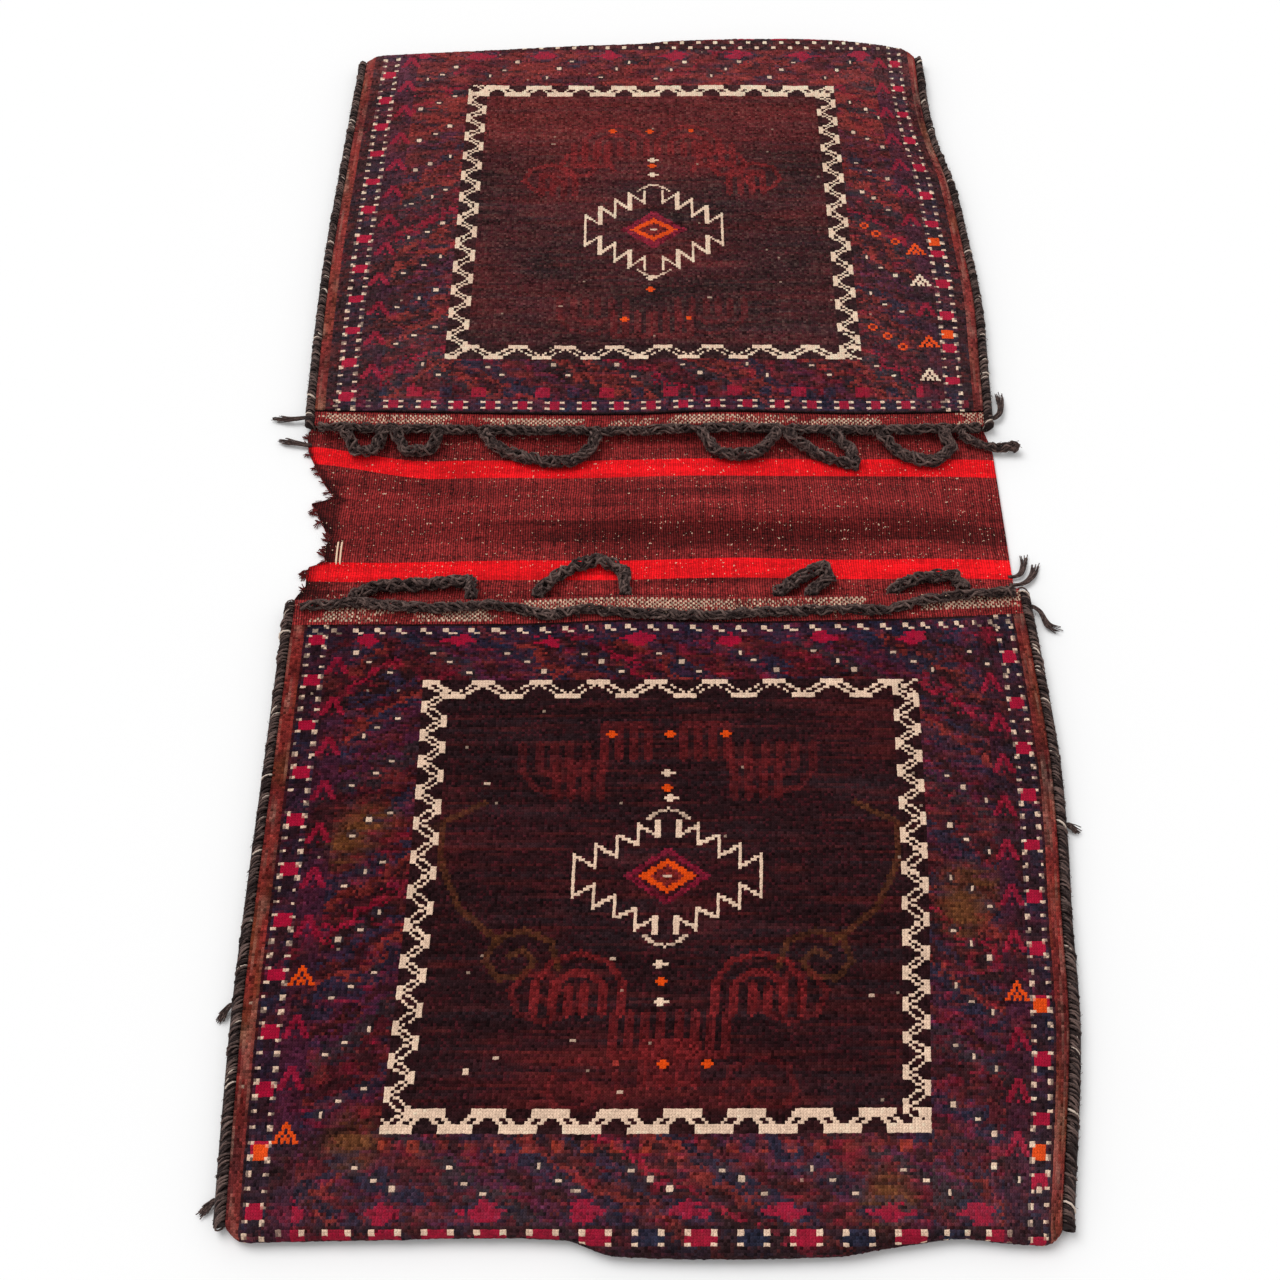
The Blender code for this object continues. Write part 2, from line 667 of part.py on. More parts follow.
def seam_root(pocket, hand, wrap):
    """The outermost point of one wrap of a side seam, brought down to the ground."""
    place = face_place(pocket, hand, seam_share(pocket, 2 * wrap + 1), 0.0)
    bulge = SEAM_WIDTH * (1.0 + math.cos(math.pi / SEAM_SIDES)) / 2.0
    return place + Vector((hand * (SEAM_CLEARANCE + bulge), 0.0, 0.0))


def bridge_root(hand, share):
    """A point on the bridge's left or right edge."""
    return bridge_row(share, [float(hand)], 0.0)[0]


def lock(name, root, hand, radius, turns):
    """A tapering lock of frayed yarn that grows outwards from its root."""
    skin = Skin()
    route = [root + Vector((hand * (LOCK_SEAT + out), along, height)) for out, along, height in turns]
    line = smooth_route(route, 2.0 * radius)
    rings = []
    for index, place in enumerate(line):
        ahead = (line[min(index + 1, len(line) - 1)] - line[max(index - 1, 0)]).normalized()
        if index == 0:
            ahead = Vector((float(hand), 0.0, 0.0))
        side = ahead.cross(Vector((0.0, 0.0, 1.0))).normalized()
        up = side.cross(ahead)
        share = index / (len(line) - 1)
        size = radius * (1.0 + (LOCK_TIP - 1.0) * share)
        ring = []
        for corner in range(LOCK_SIDES):
            angle = 2.0 * math.pi * corner / LOCK_SIDES
            ring.append(place + (side * math.cos(angle) + up * math.sin(angle)) * size)
        rings.append(skin.row(ring))
    for first, second in zip(rings, rings[1:]):
        skin.stitch(first + first[:1], second + second[:1], 0)
    skin.close(rings[0])
    skin.close(rings[-1])
    return skin.build(name, ("goat_hair",))


def shade_round(item):
    if item.type == "MESH":
        item.data.shade_smooth()
        item.data.set_sharp_from_angle(angle=math.radians(50.0))


def main():
    clear_scene()
    made = [woven_panel()]
    for pocket in POCKETS:
        made += [side_seam(pocket, -1), side_seam(pocket, 1)]
    made += [far_mouth_cord(), near_mouth_cord()]
    for pocket, loops in ((FAR_POCKET, FAR_LOOPS), (NEAR_POCKET, NEAR_LOOPS)):
        for index, turns in enumerate(loops):
            made.append(closing_loop(pocket, f"loop_{pocket['name']}_{index + 1}", turns))
    for name, pocket, hand, wrap, radius, turns in SEAM_LOCKS:
        made.append(lock(name, seam_root(pocket, hand, wrap), hand, radius, turns))
    for name, hand, share, radius, turns in BRIDGE_LOCKS:
        made.append(lock(name, bridge_root(hand, share), hand, radius, turns))
    for item in made:
        shade_round(item)


main()
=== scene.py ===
"""Looks of a kilim saddle bag: knotted pockets, a striped bridge, overcast seams and hair cords."""

import json
import math

import bmesh
import bpy
import numpy as np
from bpy.props import FloatProperty, FloatVectorProperty, IntProperty, PointerProperty
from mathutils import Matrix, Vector

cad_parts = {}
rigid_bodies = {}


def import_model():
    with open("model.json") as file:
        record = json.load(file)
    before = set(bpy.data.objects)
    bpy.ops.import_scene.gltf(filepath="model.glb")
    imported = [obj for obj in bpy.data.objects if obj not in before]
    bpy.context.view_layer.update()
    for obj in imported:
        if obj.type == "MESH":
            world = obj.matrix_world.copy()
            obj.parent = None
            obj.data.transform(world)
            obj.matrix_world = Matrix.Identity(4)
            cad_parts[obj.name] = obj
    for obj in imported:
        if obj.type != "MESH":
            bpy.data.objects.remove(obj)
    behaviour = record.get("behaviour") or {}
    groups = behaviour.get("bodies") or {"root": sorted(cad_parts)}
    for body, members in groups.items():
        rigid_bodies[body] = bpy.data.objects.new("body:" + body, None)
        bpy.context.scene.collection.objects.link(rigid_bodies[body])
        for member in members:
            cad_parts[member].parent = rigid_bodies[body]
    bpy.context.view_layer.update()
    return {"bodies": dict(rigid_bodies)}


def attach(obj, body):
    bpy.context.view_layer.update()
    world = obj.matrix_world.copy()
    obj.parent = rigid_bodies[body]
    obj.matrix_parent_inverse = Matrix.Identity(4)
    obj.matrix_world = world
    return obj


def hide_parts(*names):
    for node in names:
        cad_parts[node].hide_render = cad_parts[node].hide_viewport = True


bl_info = {
    "name": "Kilim Saddle Bag",
    "version": (1, 0, 0),
    "blender": (4, 5, 0),
    "location": "View3D > Sidebar > Saddle Bag",
    "description": "Knotted pockets, a striped bridge, overcast seams and hair cords",
    "category": "Object",
}

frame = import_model()
BODY = next(iter(frame["bodies"]))

# Woven strip, in metres, as in the construction
HALF_WIDTH = 0.296
BACK_THICKNESS = 0.003
PILE_THICKNESS = 0.005
STRIP_THICKNESS = 0.003
CLEARANCE = 0.0003
POCKET_GAP = 0.0085
SIDE_GAP = 0.0062
LIP_GAP = 0.006
LIP_TAPER = 0.15
CORNER_ROUNDING = 0.009
CORNER_SHARE = 0.06

# Knots across the frame of ivory zigzags, and between it and each side seam
FRAME_COLUMNS = 172
SIDE_COLUMNS = 50
COLUMNS = FRAME_COLUMNS + 2 * SIDE_COLUMNS
FOLD_ROWS = 46
KNOT = 0.0022

# Each pocket: the outline as constructed, then where the frame lies and the pattern's counts.
# A wander is a list of (share of the way, outward distance) from lip to fold or left to right.
FAR_POCKET = {
    "name": "far",
    "side": 1,
    "lip": 0.106,
    "face": 0.539,
    "mouth_strip": 0.0145,
    "left_wander": ((0.0, 0.004), (0.1, 0.0062), (0.4, 0.0092), (0.67, 0.007), (1.0, 0.003)),
    "right_wander": (
        (0.0, -0.003), (0.12, -0.0004), (0.3, 0.0035), (0.46, 0.0003),
        (0.62, -0.005), (0.74, -0.0155), (0.84, -0.0198), (1.0, -0.0203),
    ),
    "fold_wander": (
        (0.0, -0.014), (0.23, -0.005), (0.36, 0.001), (0.48, 0.005), (0.55, 0.0105),
        (0.75, 0.0137), (0.85, 0.0105), (0.92, 0.005), (1.0, -0.005),
    ),
    "lip_wander": ((0.0, 0.002), (0.2, -0.001), (0.45, -0.003), (0.6, 0.001), (0.8, -0.002), (1.0, 0.001)),
    "frame_left": ((0.0, -0.189), (0.5, -0.189), (1.0, -0.189)),
    "frame_right": ((0.0, 0.19), (0.5, 0.189), (1.0, 0.187)),
    "frame_mouth": 0.182,
    "frame_fold": 0.574,
    "mouth_rows": 28,
    "frame_rows": 178,
    "side_bands": (("border", 25), ("motif", 9), ("guard", 8), ("dark", 4), ("rust", 4)),
}
NEAR_POCKET = {
    "name": "near",
    "side": -1,
    "lip": 0.084,
    "face": 0.526,
    "mouth_strip": 0.027,
    "left_wander": ((0.0, -0.0015), (0.3, -0.003), (0.67, -0.005), (0.85, -0.009), (1.0, -0.0135)),
    "right_wander": (
        (0.0, 0.0058), (0.3, 0.0095), (0.45, 0.0058), (0.57, 0.0003), (0.75, -0.0066), (1.0, -0.029),
    ),
    "fold_wander": (
        (0.0, 0.0), (0.18, -0.002), (0.4, -0.002), (0.46, 0.0085), (0.7, 0.009),
        (0.78, 0.002), (0.85, -0.003), (0.92, 0.0), (1.0, 0.002),
    ),
    "lip_wander": ((0.0, 0.003), (0.3, 0.002), (0.45, -0.002), (0.6, 0.0), (0.8, -0.003), (1.0, -0.009)),
    "frame_left": ((0.0, -0.185), (0.5, -0.181), (1.0, -0.188)),
    "frame_right": ((0.0, 0.2125), (0.16, 0.2094), (0.5, 0.2019), (0.88, 0.186), (1.0, 0.182)),
    "frame_mouth": 0.1696,
    "frame_fold": 0.54,
    "mouth_rows": 27,
    "frame_rows": 168,
    "side_bands": (("border", 27), ("motif", 9), ("guard", 8), ("dark", 1), ("rust", 5)),
}
POCKETS = (FAR_POCKET, NEAR_POCKET)

# Edges of the bridge from the far lip to the near lip: (share of the way, outward distance)
TORN_EDGE = (
    (0.0, 0.0105), (0.05, 0.01), (0.12, 0.0079), (0.3, -0.0082), (0.4, -0.0205), (0.43, 0.0),
    (0.455, -0.005), (0.53, -0.0105), (0.635, -0.021), (0.716, -0.0162), (0.775, -0.0208),
    (0.8, -0.005), (0.915, -0.006), (0.96, 0.0005), (1.0, 0.003),
)
SOUND_EDGE = ((0.0, -0.002), (0.11, 0.003), (0.5, 0.0035), (0.9, 0.004), (1.0, 0.0055))
STRIPE_WIDTH = 0.0205
FAR_STRIPE = 0.0525
NEAR_STRIPE = 0.0386

# The bridge's soft fold: Y of its crest and how far it reaches to the near and the far side
HUMP_CREST = 0.006
HUMP_NEAR_REACH = 0.016
HUMP_FAR_REACH = 0.036

# Rows of the weave's mesh on the bridge and the mouths' strips, and how far a strip is tucked in
BRIDGE_ROW = 0.005
STRIP_ROW = 0.0021
STRIP_TUCK = 0.004

# The pile's mesh: how far knots wander, and the coarse underside's steps in rows and columns
KNOT_WANDER = 0.00016
UNDER_ROWS = 14
UNDER_FOLD_ROWS = 4
UNDER_COLUMNS = 16

# Cords and closing loops, on the routes of the construction: the near mouth cord's as (share
# across, distance behind the lip), the loops' as (X, distance out from the lip)
MOUTH_CORD = 0.007
MOUTH_CORD_REACH = 0.985
MOUTH_CORD_POINTS = 25
LOOP_CORD = 0.0105
TAIL_CORD = 0.008
LOOP_DROP = 0.018
LOOP_LEAD = 0.004
LOOP_SEAT = 0.0012
CORD_STEP = 2.2
NEAR_CORD_ROUTE = (
    (-0.98, 0.01), (-0.84, 0.006), (-0.63, 0.0115), (-0.44, 0.0095), (-0.3, 0.0205),
    (-0.21, 0.0165), (-0.1, 0.0205), (0.1, 0.0225), (0.26, 0.019), (0.49, 0.018),
    (0.63, 0.019), (0.77, 0.0085), (0.9, 0.0065), (0.985, 0.006),
)
FAR_LOOPS = (
    ((-0.27, 0.0), (-0.26, 0.029), (-0.244, 0.0285), (-0.2385, 0.0)),
    ((-0.226, 0.0), (-0.218, 0.027), (-0.196, 0.026), (-0.19, 0.0)),
    ((-0.148, 0.0), (-0.13, 0.026), (-0.09, 0.037), (-0.064, 0.033), (-0.05, 0.0)),
    ((0.043, 0.0), (0.056, 0.029), (0.088, 0.031), (0.108, 0.0)),
    ((0.12, 0.0), (0.142, 0.028), (0.176, 0.042), (0.174, 0.024), (0.16, 0.0)),
    ((0.202, 0.0), (0.216, 0.029), (0.246, 0.038), (0.262, 0.024), (0.256, 0.0)),
    ((0.272, 0.0), (0.285, 0.019), (0.303, 0.023), (0.315, 0.0215)),
)
NEAR_LOOPS = (
    ((-0.248, 0.0), (-0.23, 0.017), (-0.19, 0.018), (-0.152, 0.022), (-0.15, 0.0)),
    ((-0.096, 0.0), (-0.08, 0.026), (-0.048, 0.04), (-0.024, 0.026), (-0.024, 0.0)),
    ((0.102, 0.0), (0.118, 0.019), (0.142, 0.033), (0.148, 0.022), (0.13, 0.0)),
    ((0.198, 0.0), (0.216, 0.016), (0.25, 0.019), (0.256, 0.0)),
)

# Twisted cords: half thickness of a strand, reach of its winding and length of a turn.
# Those of loops and knots are shares of the cord's thickness.
MOUTH_TWIST = (0.001, 0.0033, 0.034)
LOOP_TWIST = (0.105, 0.39, 3.6)
KNOT_TWIST = (0.095, 0.26, 3.0)
MOUTH_HAIRS = 21000.0
LOOP_HAIRS = 48000.0
LOOP_HAIR = 0.0027
KNOT_HAIRS = 60000.0
KNOT_HAIR = 0.0035

# The knot on a free tail: its middle beyond the cord's end and its radius as shares of the
# thickness, then its coil's steps, each a turn in radians
KNOT_REACH = 0.25
KNOT_RADIUS = 0.34
KNOT_STEPS = 27
KNOT_TURN = 0.55

# Overcast seams, and the hairs of the locks that grow from them or from the bridge's edges
SEAM_WIDTH = 0.0095
SEAM_WRAPS = 25
SEAM_SLANT = 0.006
SEAM_BITE = 0.0008
SEAM_HALF_HEIGHT = 0.0063
SEAM_LEAN = 0.55
FIBRE_THICKNESS = 0.00042
LOCK_SEAT = 0.0007
LOCK_ROOT = 0.003

# Frayed locks: name, pocket, hand and the wrap it grows from (or hand and share of the bridge's
# way), half thickness, and points as (outward, along the strip, height)
SEAM_LOCKS = (
    ("tail_far_left_upper", FAR_POCKET, -1, 0, 0.0035,
     ((0.0, 0.0, 0.006), (0.014, -0.001, 0.005), (0.031, 0.003, 0.002))),
    ("tail_far_right", FAR_POCKET, 1, 0, 0.004,
     ((0.0, 0.0, 0.006), (0.006, 0.006, 0.006), (0.0085, 0.018, 0.005), (0.009, 0.033, 0.0025))),
    ("tassel_near_right_curl", NEAR_POCKET, 1, 0, 0.003,
     ((0.0, 0.0, 0.005), (0.006, -0.006, 0.005), (0.011, -0.019, 0.0035), (0.021, -0.023, 0.002))),
    ("tuft_near_left", NEAR_POCKET, -1, 17, 0.003,
     ((0.0, 0.0, 0.0045), (0.004, -0.005, 0.004), (0.007, -0.012, 0.002))),
    ("tuft_near_right", NEAR_POCKET, 1, 10, 0.003,
     ((0.0, 0.0, 0.0045), (0.004, -0.002, 0.004), (0.008, -0.005, 0.002))),
    ("tuft_corner_left", NEAR_POCKET, -1, 24, 0.003,
     ((0.0, 0.0, 0.0045), (0.004, -0.004, 0.004), (0.009, -0.009, 0.002))),
)
BRIDGE_LOCKS = (
    ("tail_far_left_lower", -1, 0.085, 0.0035,
     ((0.0, 0.0, 0.0042), (0.013, 0.003, 0.0045), (0.027, 0.0078, 0.0018))),
    ("tassel_near_right_inner", 1, 0.855, 0.003,
     ((0.0, 0.0, 0.0035), (0.006, 0.002, 0.0045), (0.01, 0.011, 0.004), (0.0125, 0.023, 0.0018))),
    ("tassel_near_right_outer", 1, 0.9, 0.003,
     ((0.0, 0.0, 0.0035), (0.008, 0.001, 0.0045), (0.016, 0.009, 0.004), (0.0215, 0.023, 0.0018))),
)

# Frays of the torn edge, and X and Y of the bare warps in its deepest bite
FRAYS = 36
WARP_PLACES = (-0.2672, -0.264)
WARP_RUN = (-0.019, -0.028, -0.037, -0.048)
WARP_HEIGHT = 0.0036

# Matte finish of all the wool and hair
MATTE_SPECULAR = 0.06
SHEEN_ROUGHNESS = 0.6

# Camera at the photograph's view, the lamp's place and the floor's half width
VIEW_TILT = 35.6
VIEW_PLACE = (-0.0063, -0.97395, 1.1943)
VIEW_LENS = 50.54
VIEW_SHIFT = -0.0047
SENSOR_WIDTH = 36.0
LAMP_PLACE = (-0.9, 0.7, 2.0)
FLOOR_REACH = 14.0


def linear(red, green, blue):
    """A colour seen as 0 to 255 in each channel, as the linear values that a shader takes."""
    channels = []
    for value in (red / 255.0, green / 255.0, blue / 255.0):
        channels.append(value / 12.92 if value <= 0.04045 else ((value + 0.055) / 1.055) ** 2.4)
    return tuple(channels)


def colour_property(name, description, red, green, blue):
    """A colour that a user may change."""
    return FloatVectorProperty(
        name=name, description=description, subtype="COLOR", size=3, min=0.0, max=1.0,
        default=linear(red, green, blue),
    )


def length_property(name, description, default):
    """A length in metres that a user may change."""
    return FloatProperty(
        name=name, description=description, default=default, min=0.0, max=0.1, precision=5,
        subtype="DISTANCE", unit="LENGTH",
    )


class PileSettings(bpy.types.PropertyGroup):
    """Dyes and relief of the knotted pile"""

    field: colour_property("Field", "Near-black brown of the pockets' fields", 38, 17, 20)
    ivory: colour_property("Ivory", "Undyed wool of zigzags and dots", 246, 210, 182)
    crimson: colour_property("Crimson", "Cochineal red of the arrows", 176, 14, 52)
    garnet: colour_property("Garnet", "Red of the faint scrolls", 128, 32, 34)
    wine: colour_property("Wine", "Dark red of the border's bands", 88, 22, 32)
    rust: colour_property("Rust", "Madder red beside the seams", 142, 46, 40)
    navy: colour_property("Navy", "Indigo of the guard stripe", 30, 36, 58)
    slate: colour_property("Slate", "Grey shadows of the border", 48, 38, 44)
    orange: colour_property("Orange", "Bright orange of the small accents", 232, 76, 14)
    purple: colour_property("Purple", "Purple of the border's bands", 80, 30, 56)
    ochre: colour_property("Ochre", "Faded brown of a few patches", 104, 58, 30)
    relief: length_property("Relief", "How unevenly the knots stand", 0.00016)
    swell: length_property("Swell", "Height of the cloth's gentle waves", 0.0016)


class WeaveSettings(bpy.types.PropertyGroup):
    """Colours and ribs of the flat weave"""

    maroon: colour_property("Maroon", "Ground of the bridge", 124, 34, 34)
    red: colour_property("Red", "Two bright stripes of the bridge", 232, 18, 26)
    pink: colour_property("Pink", "Ground of the brocade at the mouths", 124, 46, 42)
    cream: colour_property("Cream", "Undyed yarn of brocade and worn warps", 240, 206, 176)
    rib_pitch: length_property("Rib pitch", "Distance between the weave's ribs", 0.0021)
    rib_height: length_property("Rib height", "Depth of the grooves between ribs", 0.0005)
    hump: length_property("Hump", "How far the bridge rises off the ground", 0.0064)


class HairSettings(bpy.types.PropertyGroup):
    """Colour and build of the goat hair"""

    dark: colour_property("Dark hair", "Most of the goat hair", 44, 32, 31)
    light: colour_property("Light hair", "Greyer hairs among it", 128, 104, 97)
    cream: colour_property("Cream bits", "A few undyed wraps of the seams", 214, 194, 178)
    wrap_pitch: length_property("Wrap pitch", "Distance between the overcast's yarns", 0.0012)
    yarn: length_property("Yarn", "Half thickness of the overcast's yarn", 0.0008)
    fibre: length_property("Fibre", "Length of the loose hairs", 0.0046)
    lock_fibres: IntProperty(name="Lock fibres", description="Hairs in a frayed lock", default=46, min=3)


class StageSettings(bpy.types.PropertyGroup):
    """Floor and light"""

    floor: colour_property("Floor", "Plain pale floor", 250, 250, 250)
    lamp: FloatProperty(name="Lamp", description="Strength of the broad soft lamp", default=1.4, min=0.0)
    lamp_spread: FloatProperty(
        name="Lamp spread", description="How broad the soft lamp looks", subtype="ANGLE",
        default=math.radians(40.0),
    )
    sky: FloatProperty(name="Sky", description="Strength of the even light", default=0.66, min=0.0)


def settings(name):
    """One of the property groups of this scene."""
    return getattr(bpy.context.scene, "saddle_bag_" + name)


def wander(table, share):
    """The outward distance of an edge at shares of its way, on a smooth curve through the table."""
    shares, reaches = np.array(table).T
    count = np.arange(len(shares))
    before, after = np.maximum(count - 1, 0), np.minimum(count + 1, len(shares) - 1)
    slopes = (reaches[after] - reaches[before]) / (shares[after] - shares[before])
    share = unit(share)
    right = np.clip(np.searchsorted(shares, share, side="right"), 1, len(shares) - 1)
    left = right - 1
    width = shares[right] - shares[left]
    u = (share - shares[left]) / width
    return (
        reaches[left] * (1.0 + 2.0 * u) * (1.0 - u) ** 2
        + reaches[right] * u * u * (3.0 - 2.0 * u)
        + slopes[left] * width * u * (1.0 - u) ** 2
        - slopes[right] * width * u * u * (1.0 - u)
    )


def straight(table, share):
    """The outward distance of a torn edge, on straight runs through the table."""
    return np.interp(share, *zip(*table))


def unit(values):
    """The values kept between 0 and 1."""
    return np.clip(values, 0.0, 1.0)


def smooth(u):
    """A share from 0 to 1 with soft ends."""
    u = unit(u)
    return u * u * (3.0 - 2.0 * u)


def between(values, low, high):
    """Which values lie from a low one up to, but not on, a high one."""
    return (values >= low) & (values < high)


def pocket_edges(pocket, t):
    """The left and right edges of the woven pocket at shares t of the way from lip to fold."""
    return -HALF_WIDTH - wander(pocket["left_wander"], t), HALF_WIDTH + wander(pocket["right_wander"], t)


def room(s, t):
    """The height of the room inside a pocket, swelling gently away from seams and lip."""
    inner = SIDE_GAP + (POCKET_GAP - SIDE_GAP) * (1.0 - np.abs(s) ** 4)
    return LIP_GAP + (inner - LIP_GAP) * smooth(t / LIP_TAPER)


def pocket_height(s, t):
    """The whole thickness of a flat pocket where its face is piled."""
    return BACK_THICKNESS + room(s, t) + PILE_THICKNESS


def lip_distance(pocket, s):
    """How far a pocket's lip lies from the middle of the bridge."""
    return pocket["lip"] + wander(pocket["lip_wander"], (s + 1.0) / 2.0)


def turn_distance(pocket, s):
    """How far the line where the face starts to turn down lies from the middle of the bridge."""
    outer = np.maximum(np.abs(s) - (1.0 - CORNER_SHARE), 0.0) / CORNER_SHARE
    reach = wander(pocket["fold_wander"], (s + 1.0) / 2.0) - CORNER_ROUNDING * outer**2
    return pocket["lip"] + pocket["face"] + reach - pocket_height(s, 1.0) / 2.0


def face_place(pocket, s, t, height):
    """Points of the pocket: share s across, share t from lip to fold, at a height."""
    left, right = pocket_edges(pocket, t)
    start = lip_distance(pocket, s)
    distance = start + (turn_distance(pocket, s) - start) * t
    x = left + (right - left) * (s + 1.0) / 2.0
    return np.stack(np.broadcast_arrays(x, pocket["side"] * distance, height), axis=-1)


def swell(pocket, s, t):
    """The gentle waves of a pocket's face, flat at its seams, lip and fold."""
    calm = smooth((1.0 - np.abs(s)) / 0.2) * smooth(t / 0.12) * smooth((1.0 - t) / 0.1)
    turn = 0.7 if pocket["side"] > 0 else 2.1
    waves = np.sin(3.1 * s + 4.3 * t + turn) * np.cos(5.2 * t - 1.3 * s + turn)
    ripples = 0.35 * np.sin(9.0 * s - 6.0 * t + 2.0 * turn) * np.sin(11.0 * t + 3.0 * s)
    return settings("pile").swell * calm * (0.6 + waves + ripples)


def knot_rows(pocket):
    """How many rows of knots the pocket's face has, its fold included."""
    return pocket["mouth_rows"] + pocket["frame_rows"] + FOLD_ROWS


def row_distance(pocket, row, s):
    """The distance from the middle of the bridge, along the cloth, of rows of knots."""
    start = lip_distance(pocket, s) + pocket["mouth_strip"]
    mouth, fold = pocket["frame_mouth"], pocket["frame_fold"]
    before = start + (mouth - start) * row / pocket["mouth_rows"]
    inside = mouth + (fold - mouth) * (row - pocket["mouth_rows"]) / pocket["frame_rows"]
    beyond = fold + KNOT * (row - pocket["mouth_rows"] - pocket["frame_rows"])
    return np.where(inside < mouth, before, np.where(inside < fold, inside, beyond))


def column_x(pocket, column, t):
    """The X of columns of knots, spread evenly between the edges and the ivory frame."""
    left, right = pocket_edges(pocket, t)
    frame_left, frame_right = wander(pocket["frame_left"], t), wander(pocket["frame_right"], t)
    last = SIDE_COLUMNS + FRAME_COLUMNS
    outer_left = left + (frame_left - left) * column / SIDE_COLUMNS
    inner = frame_left + (frame_right - frame_left) * (column - SIDE_COLUMNS) / FRAME_COLUMNS
    outer_right = frame_right + (right - frame_right) * (column - last) / SIDE_COLUMNS
    x = np.where(column < SIDE_COLUMNS, outer_left, np.where(column < last, inner, outer_right))
    return x, 2.0 * (x - left) / (right - left) - 1.0


def knot_place(pocket, row, column, lift):
    """Places on the pile by row and column of knots, at a lift above its even surface."""
    row, column, lift = np.broadcast_arrays(*(np.asarray(v, dtype=float) for v in (row, column, lift)))
    about = 2.0 * column / COLUMNS - 1.0
    start, turn = lip_distance(pocket, about), turn_distance(pocket, about)
    radius = pocket_height(about, 1.0) / 2.0
    along = row_distance(pocket, row, about)
    end = row_distance(pocket, np.full_like(row, knot_rows(pocket)), about)
    quarter = turn + radius * math.pi / 2.0
    angle = np.clip((along - turn) / radius, 0.0, math.pi / 2.0)
    angle += math.pi / 2.0 * unit((along - quarter) / (end - quarter))
    t = unit((along - start) / (turn - start))
    x, s = column_x(pocket, column, t)
    flat_height = pocket_height(s, t) + swell(pocket, s, t) + lift
    folded = along > turn
    y = np.where(folded, turn + (radius + lift) * np.sin(angle), start + (turn - start) * t)
    z = np.where(folded, radius + (radius + lift) * np.cos(angle), flat_height)
    return np.stack((x, pocket["side"] * y, z), axis=-1)


def knot_cell(pocket, x, y):
    """The row and column of the knot at a place on the pocket's face."""
    along = abs(y)
    rows = np.arange(knot_rows(pocket) + 1)
    distances = row_distance(pocket, rows, x / HALF_WIDTH)
    start, turn = lip_distance(pocket, x / HALF_WIDTH), turn_distance(pocket, x / HALF_WIDTH)
    columns = np.arange(COLUMNS + 1)
    places, _ = column_x(pocket, columns, (along - start) / (turn - start))
    row, column = np.interp(along, distances, rows), np.interp(x, places, columns)
    return int(round(float(row))), int(round(float(column)))


def cloud(shape, cell, rng):
    """Soft random values from -1 to 1 on a grid, with patches of about cell = (rows, columns)."""
    rows, columns = np.arange(shape[0]) / cell[0], np.arange(shape[1]) / cell[1]
    coarse = rng.uniform(-1.0, 1.0, (int(rows[-1]) + 2, int(columns[-1]) + 2))
    low, left = rows.astype(int), columns.astype(int)
    up, over = smooth(rows - low)[:, None], smooth(columns - left)[None, :]
    near = coarse[low][:, left] * (1.0 - over) + coarse[low][:, left + 1] * over
    far = coarse[low + 1][:, left] * (1.0 - over) + coarse[low + 1][:, left + 1] * over
    return near * (1.0 - up) + far * up


# Small figures of the pattern, one sign for each knot, top row first
ARROW = (
    "...###...",
    "...###...",
    "..#####..",
    "..##.##..",
    ".###.###.",
    ".##...##.",
    "###...###",
    "##..#..##",
)
THIN_ARROW = (
    "....#....",
    "...###...",
    "...#.#...",
    "..##.##..",
    ".##.#.##.",
    ".#.###.#.",
    "##.#.#.##",
)
WIDE_CROSS = (".##..", "#####", ".##..")
ORANGE_CROSS = (".##.", "####", ".##.")
BLOSSOM = (".##.", "####", "####", ".##.")
DOT = ("##", "##")
SMALL_DOT = ("##",)
TALL_DOT = ("#", "#")

# Strokes of the medallion's sawtooth outline in one quarter: (knots across, near row, far row)
FAR_STROKES = ((4.0, 17.3, 24.5), (10.6, 13.3, 23.4), (17.0, 8.2, 19.4), (23.4, 3.7, 15.3), (30.0, 0.0, 9.6))
NEAR_STROKES = ((3.4, 15.2, 21.3), (9.9, 12.2, 19.3), (17.0, 7.1, 15.2), (24.1, 3.5, 11.7), (31.1, 0.0, 7.6))

# Faint scrolls in the field: lines in knots from the scroll's own middle, drawn in dull red
SCROLL = (
    ((-14, -9), (-14, 2), (-9, 9), (0, 12), (9, 9), (14, 2), (14, -9)),
    ((-8, -9), (-8, 1), (-3, 5), (3, 5), (8, 1), (8, -9)),
    ((-2, -9), (-2, 0)),
    ((3, -9), (3, 0)),
)
CURL = (
    ((-12, -4), (-9, 5), (0, 9), (9, 6), (12, -2), (7, -8), (-1, -7), (-4, -2), (0, 2), (4, 0)),
)
FENCE = (
    ((-9, -7), (-9, 7)), ((-4, -7), (-4, 7)), ((1, -7), (1, 7)), ((6, -7), (6, 7)),
    ((-9, 7), (6, 7)),
)
OCHRE_LINE = (
    ((18, 24), (17, 8), (10, -8), (-4, -20)), ((22, 22), (4, 32)),
)


